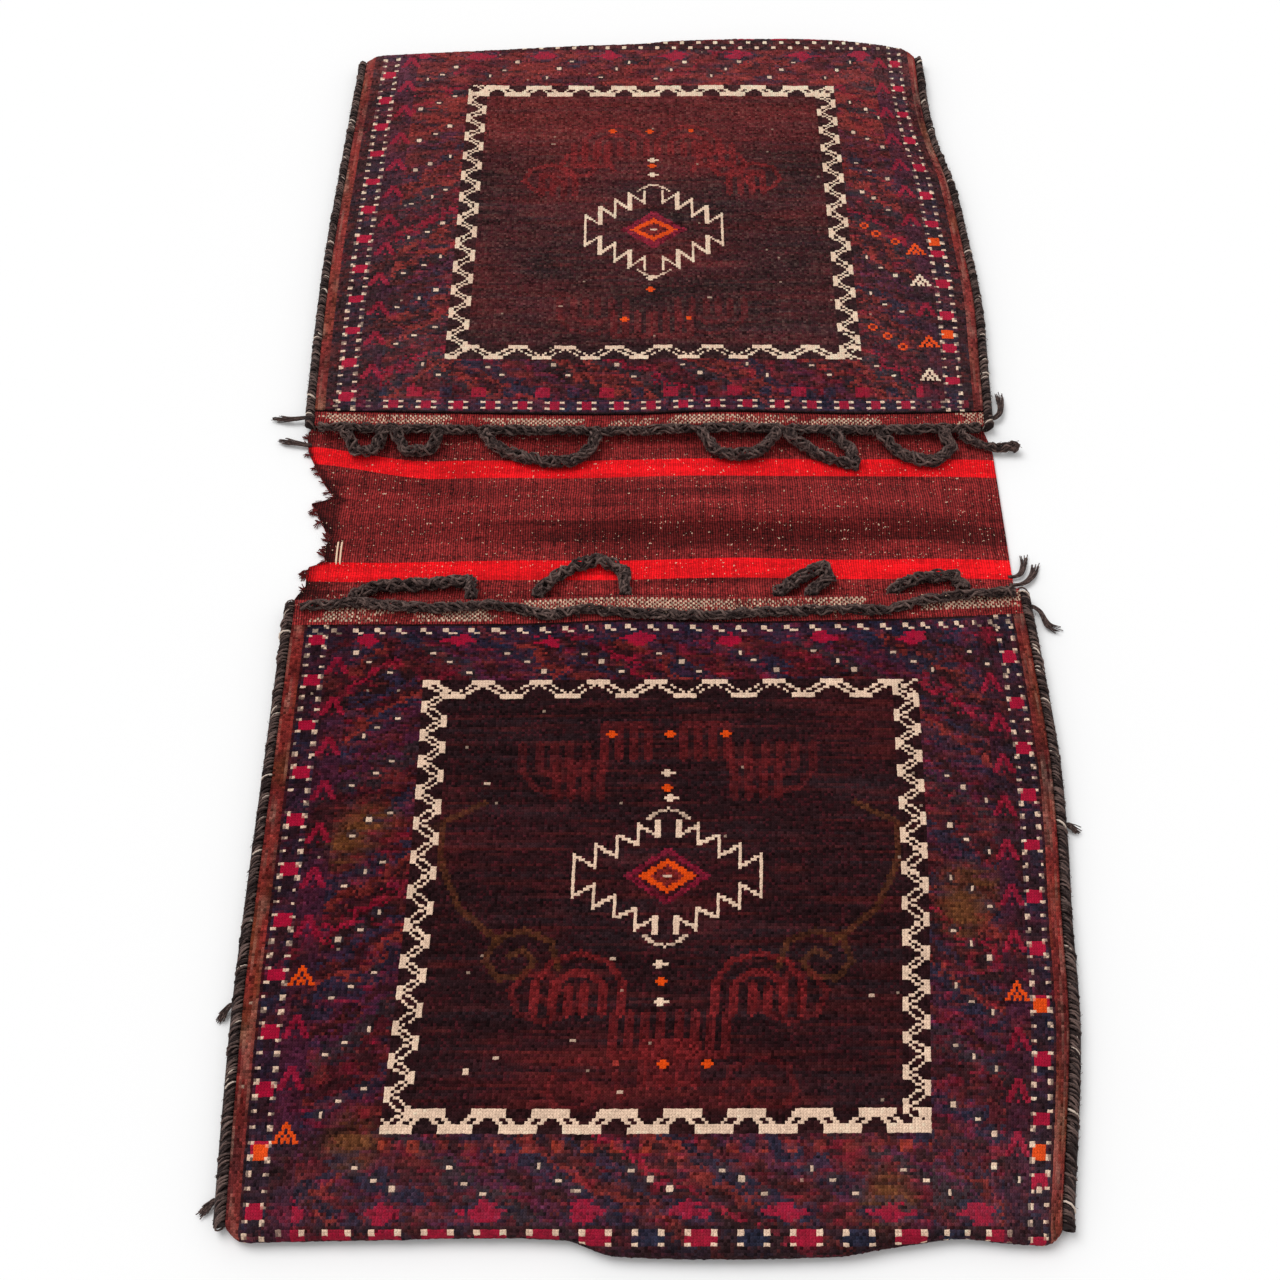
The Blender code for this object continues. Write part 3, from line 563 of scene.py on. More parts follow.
class Pattern:
    """The colour of every knot of one pocket's face."""

    def __init__(self, pocket):
        self.pocket, self.name = pocket, pocket["name"]
        self.far = pocket["side"] > 0
        self.dyes = settings("pile")
        self.shape = (knot_rows(pocket), COLUMNS)
        self.rng = np.random.default_rng(41 if self.far else 42)
        self.rows, self.columns = np.indices(self.shape).astype(float)
        self.frame_row = self.rows - pocket["mouth_rows"]
        self.frame_column = self.columns - SIDE_COLUMNS
        left = SIDE_COLUMNS - self.columns
        right = self.columns - SIDE_COLUMNS - FRAME_COLUMNS + 1
        self.outward = np.maximum(left, right)
        self.on_left = self.columns < COLUMNS / 2
        about = 2.0 * (self.columns + 0.5) / COLUMNS - 1.0
        along = row_distance(pocket, self.rows + 0.5, about)
        start, turn = lip_distance(pocket, about), turn_distance(pocket, about)
        self.x, _ = column_x(pocket, self.columns + 0.5, unit((along - start) / (turn - start)))
        self.y = pocket["side"] * along
        self.colour = np.zeros(self.shape + (3,))

    def dye(self, name):
        """One of the named dyes."""
        return np.array(getattr(self.dyes, name))

    def soft(self, rows, columns):
        """Soft random values from 0 to 1 in patches of so many rows and columns."""
        return 0.5 + 0.5 * cloud(self.shape, (rows, columns), self.rng)

    def paint(self, where, dye, share=1.0, worn=0.0):
        """Mixes a dye into the knots of a mask or a weight, less where the knots are worn."""
        weight = np.asarray(where, dtype=float) * share
        if worn:
            weight = weight * (1.0 - worn * self.rng.random(self.shape))
        weight = unit(weight)[..., None]
        self.colour = self.colour * (1.0 - weight) + self.dye(dye) * weight

    def mottle(self, where, patch, floor, dye, share, worn=0.0, gain=1.0):
        """Mixes a dye into patches of about (rows, columns), where their random height passes a floor."""
        self.paint(where * unit(gain * self.soft(*patch) - floor), dye, share, worn)

    def speckle(self, where, limit, dye, share, worn):
        """Mixes a dye into single knots whose random number passes a limit."""
        self.paint(where & (self.rng.random(self.shape) > limit), dye, share, worn)

    def figure(self, x, y, signs, dye, share=1.0):
        """Ties a small figure with its middle at a place, its first row farthest from the eye."""
        row, column = knot_cell(self.pocket, x, y)
        step = -self.pocket["side"]
        top = row - step * (len(signs) // 2)
        for down, line in enumerate(signs):
            for over, sign in enumerate(line):
                at_row, at_column = top + step * down, column - len(line) // 2 + over
                if sign == "#" and 0 <= at_row < self.shape[0] and 0 <= at_column < COLUMNS:
                    old = self.colour[at_row, at_column]
                    self.colour[at_row, at_column] = old * (1.0 - share) + self.dye(dye) * share

    def stroke(self, row, column, lines, dye, width=1.0, share=1.0, flip=(1, 1), worn=0.0):
        """Draws lines of knots about a middle, given as (across, away from the eye) points."""
        distance = np.full(self.shape, 1e6)
        away = (self.rows - row) * self.pocket["side"] * flip[1]
        across = (self.columns - column) * flip[0]
        for line in lines:
            for start, end in zip(line, line[1:]):
                run = np.subtract(end, start, dtype=float)
                size = max(float(run @ run), 1e-9)
                u = unit(((across - start[0]) * run[0] + (away - start[1]) * run[1]) / size)
                gap = np.hypot(across - start[0] - u * run[0], away - start[1] - u * run[1])
                distance = np.minimum(distance, gap)
        self.paint(distance < width, dye, share, worn)

    def field(self):
        """The brown ground, with streaks along the rows and redder stretches."""
        self.paint(np.ones(self.shape), "field")
        warm = 0.8 * (self.soft(30, 50) - 0.5)
        if self.far:
            warm += 0.2 + 0.46 * smooth((self.frame_row - 105) / 55.0)
            warm -= 0.1 * smooth((self.x - 0.02) / 0.12)
            warm -= 0.22 * smooth((70 - self.frame_row) / 50.0)
        else:
            warm += 0.14 * smooth((50 - self.frame_row) / 60.0) - 0.2
            warm += 0.3 * smooth((self.frame_row - 112) / 30.0)
        self.paint(unit(warm), "wine", 0.45)
        self.paint(unit(warm - 0.1 + 0.6 * (self.soft(1.5, 14) - 0.5)), "rust", 0.48)
        self.mottle(1.0, (1.2, 16), 0.55, "rust", 0.42)
        self.mottle(1.0, (2.2, 40), 0.55, "slate", 0.8)
        self.speckle(True, 0.72, "wine", 0.4, 0.9)
        if self.far:
            self.mottle(1.0, (6, 18), 0.3, "wine", 0.22, gain=1.6)
            self.speckle(True, 0.6, "ivory", 0.035, 0.9)

    def zigzag(self, phase, depth, high, period, thick, half, lead, rise, reach):
        """Knots of one ivory band: blocks on both its sides, joined by pairs of dotted stairs."""
        gap = np.abs(np.mod(phase + period / 2.0, period) - period / 2.0)
        facing = period / 2.0 - gap
        outer = (depth < thick) & (gap <= half)
        inner = (depth >= high - thick) & (facing <= half)
        step, last = depth - thick, high - 2 * thick - 1
        stairs = np.abs(gap - lead - np.round(rise * step)) < reach
        stairs |= np.abs(facing - lead - np.round(rise * (last - step))) < reach
        stairs &= (step >= 0) & (step <= last)
        return (outer | inner | stairs) & between(depth, 0, high)

    def ivory_frame(self):
        """The frame of ivory zigzags round the field."""
        rows, columns = self.pocket["frame_rows"], FRAME_COLUMNS
        drift = 1.6 * np.sin(self.frame_row / 23.0) + 1.2 * np.sin(self.frame_column / 31.0)
        side_shape, *ends = FRAME_SHAPES[self.name]
        within_rows = between(self.frame_row, 0, rows)
        within_columns = between(self.frame_column, 0, columns)
        near_side = np.minimum(self.frame_column, columns - 1 - self.frame_column) < FRAME_SIDE
        near_end = np.minimum(self.frame_row, rows - 1 - self.frame_row) < FRAME_END
        self.paint(within_rows & within_columns & (near_side | near_end), "field", 0.8, 0.3)
        for left in (True, False):
            depth = self.frame_column if left else columns - 1 - self.frame_column
            inside = within_rows & between(depth, 0, FRAME_SIDE)
            band = self.zigzag(self.frame_row + drift + (0 if left else 3), depth, FRAME_SIDE, *side_shape)
            self.paint(band & inside, "ivory")
        for mouth in (True, False):
            depth = self.frame_row if mouth else rows - 1 - self.frame_row
            inside = within_columns & between(depth, 0, FRAME_END)
            end_shape, start = ends[0 if mouth else 1]
            band = self.zigzag(self.frame_column - start + 0.5 * drift, depth, FRAME_END, *end_shape)
            self.paint(band & inside, "ivory")

    def medallion(self, x, y, strokes, core, heart):
        """The sawtooth medallion with a crimson diamond and an orange ring at its heart."""
        row, column = knot_cell(self.pocket, x, y)
        uprights, links = [], []
        for across, near, far in strokes:
            uprights.append(((across, near), (across, far)))
        for (across, near, _), (beyond, _, far) in zip(strokes, strokes[1:]):
            links.append(((across, near), (beyond, far)))
        tip = strokes[0][2]
        arch = ((0, tip + 4.3), (2.5, tip + 4.0), (5, tip + 2.4), (7, tip + 0.4))
        for flip in ((1, 1), (-1, 1), (1, -1), (-1, -1)):
            self.stroke(row, column, uprights, "ivory", 0.8, flip=flip)
            self.stroke(row, column, links, "ivory", 0.62, flip=flip)
            self.stroke(row, column, (arch,), "ivory", 0.5, flip=flip, worn=0.5)
        away, across = self.rows - row, self.columns - column
        ring = np.abs(across) / core[0] + np.abs(away) / core[1]
        self.paint(ring < 1.0, "crimson", 0.7 if self.far else 0.6, 0.5)
        self.paint(ring < 1.0, "navy", 0.16)
        if not self.far:
            self.paint(ring < 0.78, "field", 0.9, 0.3)
        ring = np.abs(across) / heart[0] + np.abs(away) / heart[1]
        self.paint(ring < 1.08, "orange")
        self.paint(ring < 0.68, "wine", 1.0, 0.2)
        self.paint((np.abs(across) < 1.2) & (np.abs(away) < 0.8), "ivory", 0.75)

    def scrolls(self):
        """Faint hooked scrolls in dull red, in mirrored pairs."""
        middle = -0.001 if self.far else 0.009
        for figure, out, y, turn, dye, share in FAR_SCROLLS if self.far else NEAR_SCROLLS:
            for hand in (-1, 1):
                row, column = knot_cell(self.pocket, middle + hand * out, y)
                self.stroke(row, column, figure, dye, 1.15, share, flip=(hand, turn), worn=0.55)

    def border(self):
        """Slanting, mottled bands of several dyes round the frame."""
        side = self.outward
        beyond = np.where(self.frame_row < 0, -self.frame_row, self.frame_row - self.pocket["frame_rows"] + 1)
        at_side = (side > 0) & (side >= beyond * 0.9)
        zone = at_side | (beyond > 0)
        self.paint(zone, "field")
        self.paint(zone, "wine", 0.4, 0.8)
        at_mouth = zone & ~at_side & (self.frame_row < 0)
        at_fold = zone & ~at_side & ~at_mouth
        ends = (at_fold, at_mouth) if self.far else (at_mouth, at_fold)
        zones = (at_side & self.on_left, at_side & ~self.on_left) + ends
        bands = FAR_BANDS if self.far else NEAR_BANDS
        for (x, y, go, again, *_), where in zip(DOT_RUNS[self.name], zones):
            if again[0] < 0.01:
                turn = (self.y - y - (self.x - x) * go[1] / go[0]) / again[1]
            else:
                turn = (self.x - x - (self.y - y) * go[0] / go[1]) / again[0]
            turn = turn + 0.2 * cloud(self.shape, (6, 9), self.rng)
            turn = turn + 0.13 * cloud(self.shape, (1.5, 4), self.rng)
            turn = turn + self.rng.normal(0.0, 0.045, self.shape)
            number = np.floor(turn + 0.5)
            within = turn - number
            pick = np.mod(number, len(bands)).astype(int)
            for index, (core, core_share, after, after_share, before, before_share) in enumerate(bands):
                chosen = where & (pick == index)
                self.paint(chosen & (np.abs(within) < 0.17), core, core_share, 0.35)
                self.paint(chosen & between(within, 0.17, 0.36), after, after_share, 0.45)
                self.paint(chosen & (within <= -0.17) & (within > -0.36), before, before_share, 0.45)
        for patch in BORDER_PATCHES:
            self.mottle(zone, *patch)
        self.speckle(zone, 0.9, "rust", 0.35, 0.8)
        self.mottle(zone, (1.7, 4), 0.7, "crimson", 1.5, 0.4)
        if self.far:
            glow = smooth((self.frame_row - 80) / 90.0) * zone
            self.mottle(glow, (2, 9), 0.55, "rust", 1.1, 0.5, gain=1.7)
            self.mottle(glow * (beyond > 0), (2, 9), 0.2, "wine", 0.9, 0.5)
            return
        for x, y, wide in OCHRE_PATCHES:
            row, column = knot_cell(self.pocket, x, y)
            away = np.hypot((self.rows - row) / 9.0, (self.columns - column) / wide)
            self.paint(unit(1.3 - away) * self.soft(1.6, 9), "ochre", 1.9, 0.4)

    def side_bands(self):
        """Columns beside the seams: arrows, the dotted guard, a dark stripe and a rust one."""
        start = 0
        limits = {}
        for name, count in self.pocket["side_bands"]:
            limits[name] = (start, start + count)
            start += count
        for name, dye, share in (("motif", "field", 0.75), ("guard", "navy", 0.55), ("dark", "field", 0.8)):
            low, high = limits[name]
            self.paint((self.outward > low) & (self.outward <= high), dye, share, 0.35)
        beside = self.outward > limits["rust"][0]
        self.paint(beside, "rust", 1.0, 0.25)
        for patch in SEAM_PATCHES:
            self.mottle(beside, *patch)
        low, high = limits["motif"]
        column = (self.outward > low) & (self.outward <= high)
        self.mottle(column, (9, 6), 0.3, "purple", 1.2, 0.5)
        self.guard(limits["guard"])
        self.arrows(limits["motif"])

    def guard(self, limits):
        """Two columns of ivory dots with crimson blocks between some of them."""
        low, high = limits
        place, last = self.outward - low - 1, high - low - 1
        inside = (place >= 0) & (place <= last)
        pitch = 4.7 if self.far else 4.8
        lag = np.where(place < 4, 0.0, 0.7)
        turn = np.floor((self.rows + lag) / pitch)
        within = self.rows + lag - turn * pitch
        self.paint(inside * self.soft(4, 4), "field", 0.8, 0.3)
        turn = np.floor(self.rows / pitch)
        block = inside & (np.mod(turn, 4) == np.where(self.on_left, 1, 3))
        self.paint(block & (place > 0) & (place < last), "crimson", 1.0, 0.2)
        self.paint(inside & (np.mod(turn, 4) == 2) & (place > 1) & (place < 6), "field", 0.7, 0.2)
        for x, y in ORANGE_BLOCKS[self.name]:
            row, _ = knot_cell(self.pocket, x, y)
            hand = self.columns < COLUMNS / 2 if x < 0 else self.columns > COLUMNS / 2
            self.paint(inside & hand & (np.abs(self.rows - row) < 2.4) & (place > 0) & (place < 6), "orange")
        dots = inside & (within < 1.5) & ((place < 2) | (place > last - 2))
        rim = (place < 1) | (place >= last) | (within >= 1.0)
        rim &= self.rng.random(self.shape) > 0.35
        self.speckle(dots, 0.05, "ivory", np.where(rim, 0.3, 0.98), 0.25)

    def arrows(self, limits):
        """The column of arrow figures beside the guard, most of them crimson."""
        middle = (limits[0] + limits[1]) / 2.0
        for hand in (-1, 1):
            column = SIDE_COLUMNS - middle if hand < 0 else SIDE_COLUMNS + FRAME_COLUMNS + middle - 1
            start, turn = lip_distance(self.pocket, 0.9 * hand), turn_distance(self.pocket, 0.9 * hand)
            first, pitch, count, odd = ARROWS[self.name, hand]
            for number in range(count):
                y = first + pitch * number
                x, _ = column_x(self.pocket, np.array(column), (abs(y) - start) / (turn - start))
                dye = odd.get(number, "crimson")
                if number in odd:
                    self.figure(float(x), y, THIN_ARROW, dye)
                else:
                    self.figure(float(x), y, ARROW, dye, 0.5)

    def dot_runs(self):
        """Runs of small ivory and orange dots on the border's slants, no two alike."""
        for x, y, go, again, times, count, special in DOT_RUNS[self.name]:
            for turn in range(times):
                for dot in range(count):
                    at_x = x + again[0] * turn + go[0] * dot + self.rng.normal(0.0, 0.0009)
                    at_y = y + again[1] * turn + go[1] * dot + self.rng.normal(0.0, 0.0009)
                    if turn in special:
                        self.figure(at_x, at_y, BLOSSOM, "orange")
                        self.figure(at_x, at_y, DOT, "wine", 0.9)
                        continue
                    self.figure(at_x, at_y, BLOSSOM, "slate", 0.7)
                    shape = (DOT, SMALL_DOT, SMALL_DOT, TALL_DOT)[self.rng.integers(4)]
                    self.figure(at_x, at_y, shape, "ivory", self.rng.uniform(0.6, 1.0))

    def mouth_row(self):
        """The row of dots and crimson blocks next to the mouth's strip."""
        inner = self.outward <= SIDE_COLUMNS - 6
        low = (self.rows < 7) & inner
        self.paint(low, "navy", 0.6, 0.5)
        self.paint((self.rows < 1) & inner, "field")
        if self.far:
            phase = np.mod(self.columns, 13)
            block = low & between(phase, 3, 7) & between(self.rows, 2, 6)
            self.paint(block, "crimson", 0.95, 0.4)
            dots = (phase == 1) | (phase == 2) | (phase == 7) | (phase == 8)
            self.paint(low & dots & ((self.rows == 2) | (self.rows == 5)), "ivory", 1.0, 0.2)
            block = between(self.rows, 8, 13) & inner
            self.paint(block & (np.mod(self.columns + 16, 26) < 6), "crimson", 0.8, 0.5)
            self.paint(block & (np.mod(self.columns + 3, 26) < 5), "navy", 0.8, 0.5)
            return
        phase = np.mod(self.columns + 1.5 * np.sin(self.columns / 19.0), 8)
        dots = (phase < 2) & between(self.rows, 2, 4)
        dots |= between(phase, 2, 4) & between(self.rows, 4, 5)
        self.paint(low & dots, "ivory", 1.0, 0.2)
        block = between(self.rows, 5, 12) & inner
        head = np.mod(self.columns + 10, 32)
        slant = np.abs(self.rows - 8.0) * 1.5 + 3.6 * cloud(self.shape, (1.5, 4), self.rng) + 1.5
        self.paint(block & (head > slant) & (head < 14 - slant), "crimson", 0.95, 0.35)
        self.paint(block & (head > 17 + slant) & (head < 30 - slant), "navy", 0.8, 0.4)

    def fold_row(self):
        """Rows of dots, arrows and small boxes along the fold."""
        beyond = self.frame_row - self.pocket["frame_rows"]
        start = 28 if self.far else 29
        inner = self.outward <= SIDE_COLUMNS - 14
        across = self.frame_column
        self.paint((beyond >= start - 1) & inner, "field", 0.8, 0.4)
        head = between(beyond, start - 10, start - 1) & inner
        point = np.mod(across + 12, 31)
        wide = 7.0 - np.abs(beyond - start + 5.5) * 1.9 + 3.6 * cloud(self.shape, (1.5, 4), self.rng)
        self.paint(head & (np.abs(point - 15) < wide + 3.5), "navy", 0.55, 0.5)
        self.paint(head & (np.abs(point - 15) < wide), "crimson", 0.85, 0.5)
        if self.far:
            phase = np.mod(across, 8)
            dots = (phase < 2) & between(beyond, start, start + 2)
            self.paint(inner & dots, "ivory", 1.0, 0.2)
            dots = (phase > 3) & (phase < 6) & between(beyond, start + 4, start + 6)
            self.paint(inner & dots, "ivory")
            boxes = (np.mod(across, 16) < 8) & between(beyond, start + 7, start + 12)
            self.paint(inner & boxes, "crimson", 0.9, 0.4)
            return
        teeth = between(beyond, 2, 6) & (np.mod(across, 9) < 4) & (self.outward <= 0)
        self.paint(teeth, "rust", 0.55, 0.6)
        self.paint(teeth & (self.soft(3, 5) > 0.6), "orange", 0.2, 0.5)
        phase = np.mod(across, 16)
        plain = across < 58
        box = (phase < 10) & between(beyond, start, start + 5) & inner
        turn = np.mod(np.floor_divide(across, 16), 2)
        self.paint(box & ((turn == 0) | plain), "crimson", 0.9, 0.4)
        self.paint(box & (turn == 1) & ~plain, "navy", 0.9, 0.4)
        corner = ((phase < 2) | between(phase, 8, 10)) & inner
        self.paint(corner & ((beyond == start) | (beyond == start + 1)), "ivory", 1.0, 0.2)
        self.paint(corner & ~plain & (beyond == start + 4), "ivory", 1.0, 0.2)

    def wear(self):
        """Abrash along the rows, uneven knots, a pale haze that is partly fading of the worn pile and partly
        painted sheen, and a few bare specks of the foundation.
        """
        abrash = 0.16 * cloud(self.shape, (1.6, 34), self.rng) + 0.12 * cloud(self.shape, (12, 40), self.rng)
        uneven = self.rng.normal(0.0, 0.3, self.shape) + 0.12 * cloud(self.shape, (1.4, 2.5), self.rng)
        # fade_and_sheen: a pale haze added to the knots' colours. It is partly fading of the worn pile and
        # partly painted sheen, strongest on the far pocket, whose pile is seen at a grazing angle.
        if self.far:
            fade_and_sheen = 0.008 + 0.005 * (self.outward > 0) + 0.008 * smooth((self.frame_row - 165) / 20.0)
        else:
            fade_and_sheen = 0.001 + 0.007 * smooth((self.frame_row - 160) / 14.0)
            fade_and_sheen = fade_and_sheen + 0.004 * (self.outward > 0) * ~self.on_left
        self.colour = self.colour * (1.0 + 14.0 * fade_and_sheen[..., None]) + fade_and_sheen[..., None]
        bright = self.colour.max(axis=-1) > 0.3
        shade = 1.0 + np.where(bright, 0.22, 1.0) * (abrash + uneven)
        self.colour *= np.clip(shade, 0.35, 2.0)[..., None]
        self.speckle(self.frame_row > 0, 0.9995, "ivory", 0.35, 0.0)
        for x, y, signs, share in BARE_SPECKS[self.name]:
            self.figure(x, y, signs, "ivory", share)

    def tie(self):
        """Ties the whole face and returns a colour for each knot."""
        self.field()
        self.scrolls()
        self.border()
        self.mouth_row()
        self.fold_row()
        self.ivory_frame()
        if self.far:
            self.medallion(-0.001, 0.3533, FAR_STROKES, core=(14.3, 12.0), heart=(9.5, 6.8))
        else:
            self.medallion(0.0087, -0.3441, NEAR_STROKES, core=(14.5, 11.0), heart=(8.8, 6.2))
        for dye, signs, places in ACCENTS[self.name]:
            for x, y in places:
                self.figure(x, y, signs, dye)
        self.side_bands()
        self.dot_runs()
        self.wear()
        return unit(self.colour)


# The border's slanting bands in turn: dye and strength on the dots, beyond them and before them
FAR_BANDS = (
    ("slate", 0.9, "rust", 0.95, "wine", 0.85),
    ("navy", 0.65, "wine", 0.95, "rust", 0.7),
    ("field", 0.95, "rust", 1.0, "purple", 0.85),
    ("slate", 0.85, "crimson", 0.6, "rust", 0.8),
)
NEAR_BANDS = (
    ("navy", 0.8, "wine", 0.8, "purple", 0.85),
    ("slate", 0.8, "purple", 0.95, "wine", 0.75),
    ("navy", 0.75, "rust", 0.8, "purple", 0.75),
    ("field", 0.95, "crimson", 0.6, "navy", 0.8),
    ("navy", 0.7, "wine", 0.9, "rust", 0.7),
)

# Mottled patches on the border and beside the seams: (rows, columns), floor, dye, strength, wear
BORDER_PATCHES = (
    ((2, 6), 0.45, "field", 1.3, 0.4),
    ((2, 7), 0.62, "rust", 1.4, 0.5),
    ((2, 5), 0.68, "purple", 1.6, 0.5),
    ((2, 4), 0.68, "navy", 2.0, 0.4),
)
SEAM_PATCHES = (
    ((7, 2), 0.25, "field", 0.9, 0.5),
    ((22, 6), 0.45, "field", 1.5, 0.3),
    ((16, 5), 0.5, "ochre", 1.6, 0.3),
    ((9, 1.2), 0.5, "ivory", 0.3, 0.5),
)

# The ivory frame's depth in knots at its sides and ends. A zigzag's shape is its period, how
# thick its blocks are, half their length, and the lead, rise and reach of its stairs. Each
# pocket has the sides' shape, then the mouth's and the fold's with the column they start at.
FRAME_SIDE = 9
FRAME_END = 8
TOOTHED = (20, 3, 6.0, 6.6, 1.3, 0.9)
SINUOUS = (20, 2, 4.2, 5.0, 1.4, 0.62)
FRAME_SHAPES = {
    "far": ((14, 2, 3.0, 0.4, 0.85, 0.55), (SINUOUS, 0.0), (TOOTHED, 14.0)),
    "near": ((12, 2, 2.5, 0.2, 0.7, 0.52), (SINUOUS, 1.0), (TOOTHED, 4.0)),
}

# Arrows beside the guard, by pocket and hand: first Y, pitch, count, and those of another dye
ARROWS = {
    ("far", -1): (0.165, 0.0405, 12, {}),
    ("far", 1): (0.165, 0.0405, 12, {0: "ivory", 1: "orange", 3: "ivory", 4: "orange"}),
    ("near", -1): (-0.5385, 0.0383, 11, {0: "orange", 3: "orange"}),
    ("near", 1): (-0.5462, 0.0375, 11, {3: "orange"}),
}

# Ochre brown patches of the near border: X, Y and half width in knots
OCHRE_PATCHES = (
    (-0.215, -0.3, 10.0), (-0.232, -0.318, 8.0), (0.232, -0.352, 12.0), (0.222, -0.372, 9.0),
    (-0.205, -0.545, 9.0), (0.15, -0.585, 9.0),
)

# Orange blocks in the guards
ORANGE_BLOCKS = {
    "far": ((0.27, 0.339), (0.27, 0.216)),
    "near": ((-0.27, -0.5507), (0.27, -0.4455), (0.27, -0.551)),
}

# Bare specks of the foundation: X, Y, shape and strength
BARE_SPECKS = {
    "far": ((0.052, 0.262, SMALL_DOT, 0.6), (-0.1, 0.48, SMALL_DOT, 0.5), (-0.085, 0.25, SMALL_DOT, 0.5)),
    "near": (
        (-0.131, -0.497, DOT, 1.0), (-0.11, -0.485, SMALL_DOT, 0.8), (-0.024, -0.509, SMALL_DOT, 0.7),
        (-0.029, -0.409, SMALL_DOT, 0.7), (0.152, -0.439, SMALL_DOT, 0.6), (-0.128, -0.264, SMALL_DOT, 0.7),
        (-0.058, -0.471, SMALL_DOT, 0.6),
    ),
}

# Scrolls beside the medallion: figure, distance out, Y, which way up, dye and strength
FAR_SCROLLS = (
    (CURL, 0.1, 0.428, 1, "garnet", 0.95),
    (CURL, 0.066, 0.448, 1, "garnet", 0.9),
    (FENCE, 0.066, 0.462, -1, "garnet", 0.8),
    (SCROLL, 0.036, 0.482, 1, "garnet", 0.8),
    (FENCE, 0.096, 0.42, 1, "garnet", 0.7),
    (SCROLL, 0.055, 0.24, -1, "garnet", 0.35),
    (FENCE, 0.022, 0.226, -1, "garnet", 0.45),
)
NEAR_SCROLLS = (
    (SCROLL, 0.064, -0.4314, 1, "garnet", 0.8),
    (CURL, 0.104, -0.407, 1, "ochre", 0.55),
    (CURL, 0.086, -0.438, -1, "garnet", 0.45),
    (FENCE, 0.026, -0.468, -1, "garnet", 0.6),
    (FENCE, 0.006, -0.49, 1, "garnet", 0.45),
    (FENCE, 0.034, -0.226, 1, "garnet", 0.45),
    (FENCE, 0.07, -0.262, 1, "garnet", 0.35),
    (SCROLL, 0.08, -0.25, -1, "garnet", 0.3),
    (CURL, 0.06, -0.505, 1, "garnet", 0.35),
    (OCHRE_LINE, 0.13, -0.352, 1, "ochre", 0.55),
)

# Small figures in the fields: dye, figure and its places (X, Y)
ACCENTS = {
    "far": (
        ("ivory", WIDE_CROSS, ((-0.001, 0.454), (-0.001, 0.4328), (-0.001, 0.288))),
        ("orange", DOT, ((0.0386, 0.499), (0.0335, 0.2316))),
        ("orange", ORANGE_CROSS, (
            (-0.001, 0.4465), (-0.001, 0.272), (-0.0395, 0.499), (-0.0023, 0.499), (-0.0257, 0.2316),
        )),
    ),
    "near": (
        ("ivory", WIDE_CROSS, ((0.011, -0.2555), (0.011, -0.2785), (0.0037, -0.4144), (0.0037, -0.4429))),
        ("rust", DOT, ((-0.0271, -0.489),)),
        ("orange", ORANGE_CROSS, (
            (0.011, -0.2684), (0.0037, -0.4282), (-0.0317, -0.221), (0.0119, -0.221),
            (0.0565, -0.221), (0.005, -0.489), (0.0353, -0.489),
        )),
    ),
}

# Runs of dots: X, Y, step in a run, step to the next run, runs, dots in each, orange runs
DOT_RUNS = {
    "far": (
        (-0.235, 0.2, (0.016, 0.011), (0.0, 0.0475), 9, 3, ()),
        (0.203, 0.2205, (0.0138, -0.0116), (0.0, 0.0463), 8, 3, (0, 3)),
        (-0.169, 0.586, (0.014, 0.013), (0.058, 0.0), 7, 3, ()),
        (-0.2085, 0.1725, (0.0156, -0.0107), (0.0586, 0.0), 8, 2, ()),
    ),
    "near": (
        (-0.2281, -0.5269, (0.0136, 0.0098), (0.0, 0.0435), 8, 3, ()),
        (0.2045, -0.5184, (0.0125, -0.0103), (0.0034, 0.0432), 7, 3, ()),
        (-0.2397, -0.142, (0.0145, -0.0095), (0.0615, 0.0), 9, 3, ()),
        (-0.2, -0.5635, (0.0132, -0.0075), (0.061, 0.0), 8, 3, ()),
    ),
}


class Cloth:
    """Collects grids of points and the faces between them into one closed mesh."""

    def __init__(self):
        self.places = []
        self.faces = []
        self.count = 0

    def grid(self, places):
        """Adds a grid of points with a quad in each cell, and returns the points' numbers."""
        rows, columns = places.shape[:2]
        numbers = self.count + np.arange(rows * columns).reshape(rows, columns)
        self.places.append(places.reshape(-1, 3))
        self.count += rows * columns
        quads = (numbers[:-1, :-1], numbers[:-1, 1:], numbers[1:, 1:], numbers[1:, :-1])
        self.faces += np.stack(quads, axis=-1).reshape(-1, 4).tolist()
        return numbers

    def stitch(self, first, second):
        """Joins two rows of points with triangles, always by the shorter way across."""
        places = np.concatenate(self.places)
        a, b = 0, 0
        while a < len(first) - 1 or b < len(second) - 1:
            on_first = b == len(second) - 1
            if a < len(first) - 1 and not on_first:
                along_first = np.linalg.norm(places[first[a + 1]] - places[second[b]])
                along_second = np.linalg.norm(places[first[a]] - places[second[b + 1]])
                on_first = along_first <= along_second
            if on_first:
                self.faces.append([int(first[a]), int(first[a + 1]), int(second[b])])
                a += 1
            else:
                self.faces.append([int(first[a]), int(second[b + 1]), int(second[b])])
                b += 1

    def rim(self, upper, lower):
        """Closes the four sides between an upper and a lower grid."""
        for end in (0, -1):
            self.stitch(upper[end], lower[end])
        for end in (0, -1):
            self.stitch(upper[:, end], lower[:, end])

    def build(self, name, finish):
        """Makes the object, its faces pointing outwards."""
        mesh = bpy.data.meshes.new(name)
        mesh.from_pydata(np.concatenate(self.places).tolist(), [], self.faces)
        face_outwards(mesh)
        mesh.shade_smooth()
        mesh.materials.append(shared(bpy.data.materials, finish))
        return add_object(name, mesh)


def add_object(name, data):
    """Links a new object with its mesh or curve into the scene."""
    made = bpy.data.objects.new(name, data)
    bpy.context.scene.collection.objects.link(made)
    return made


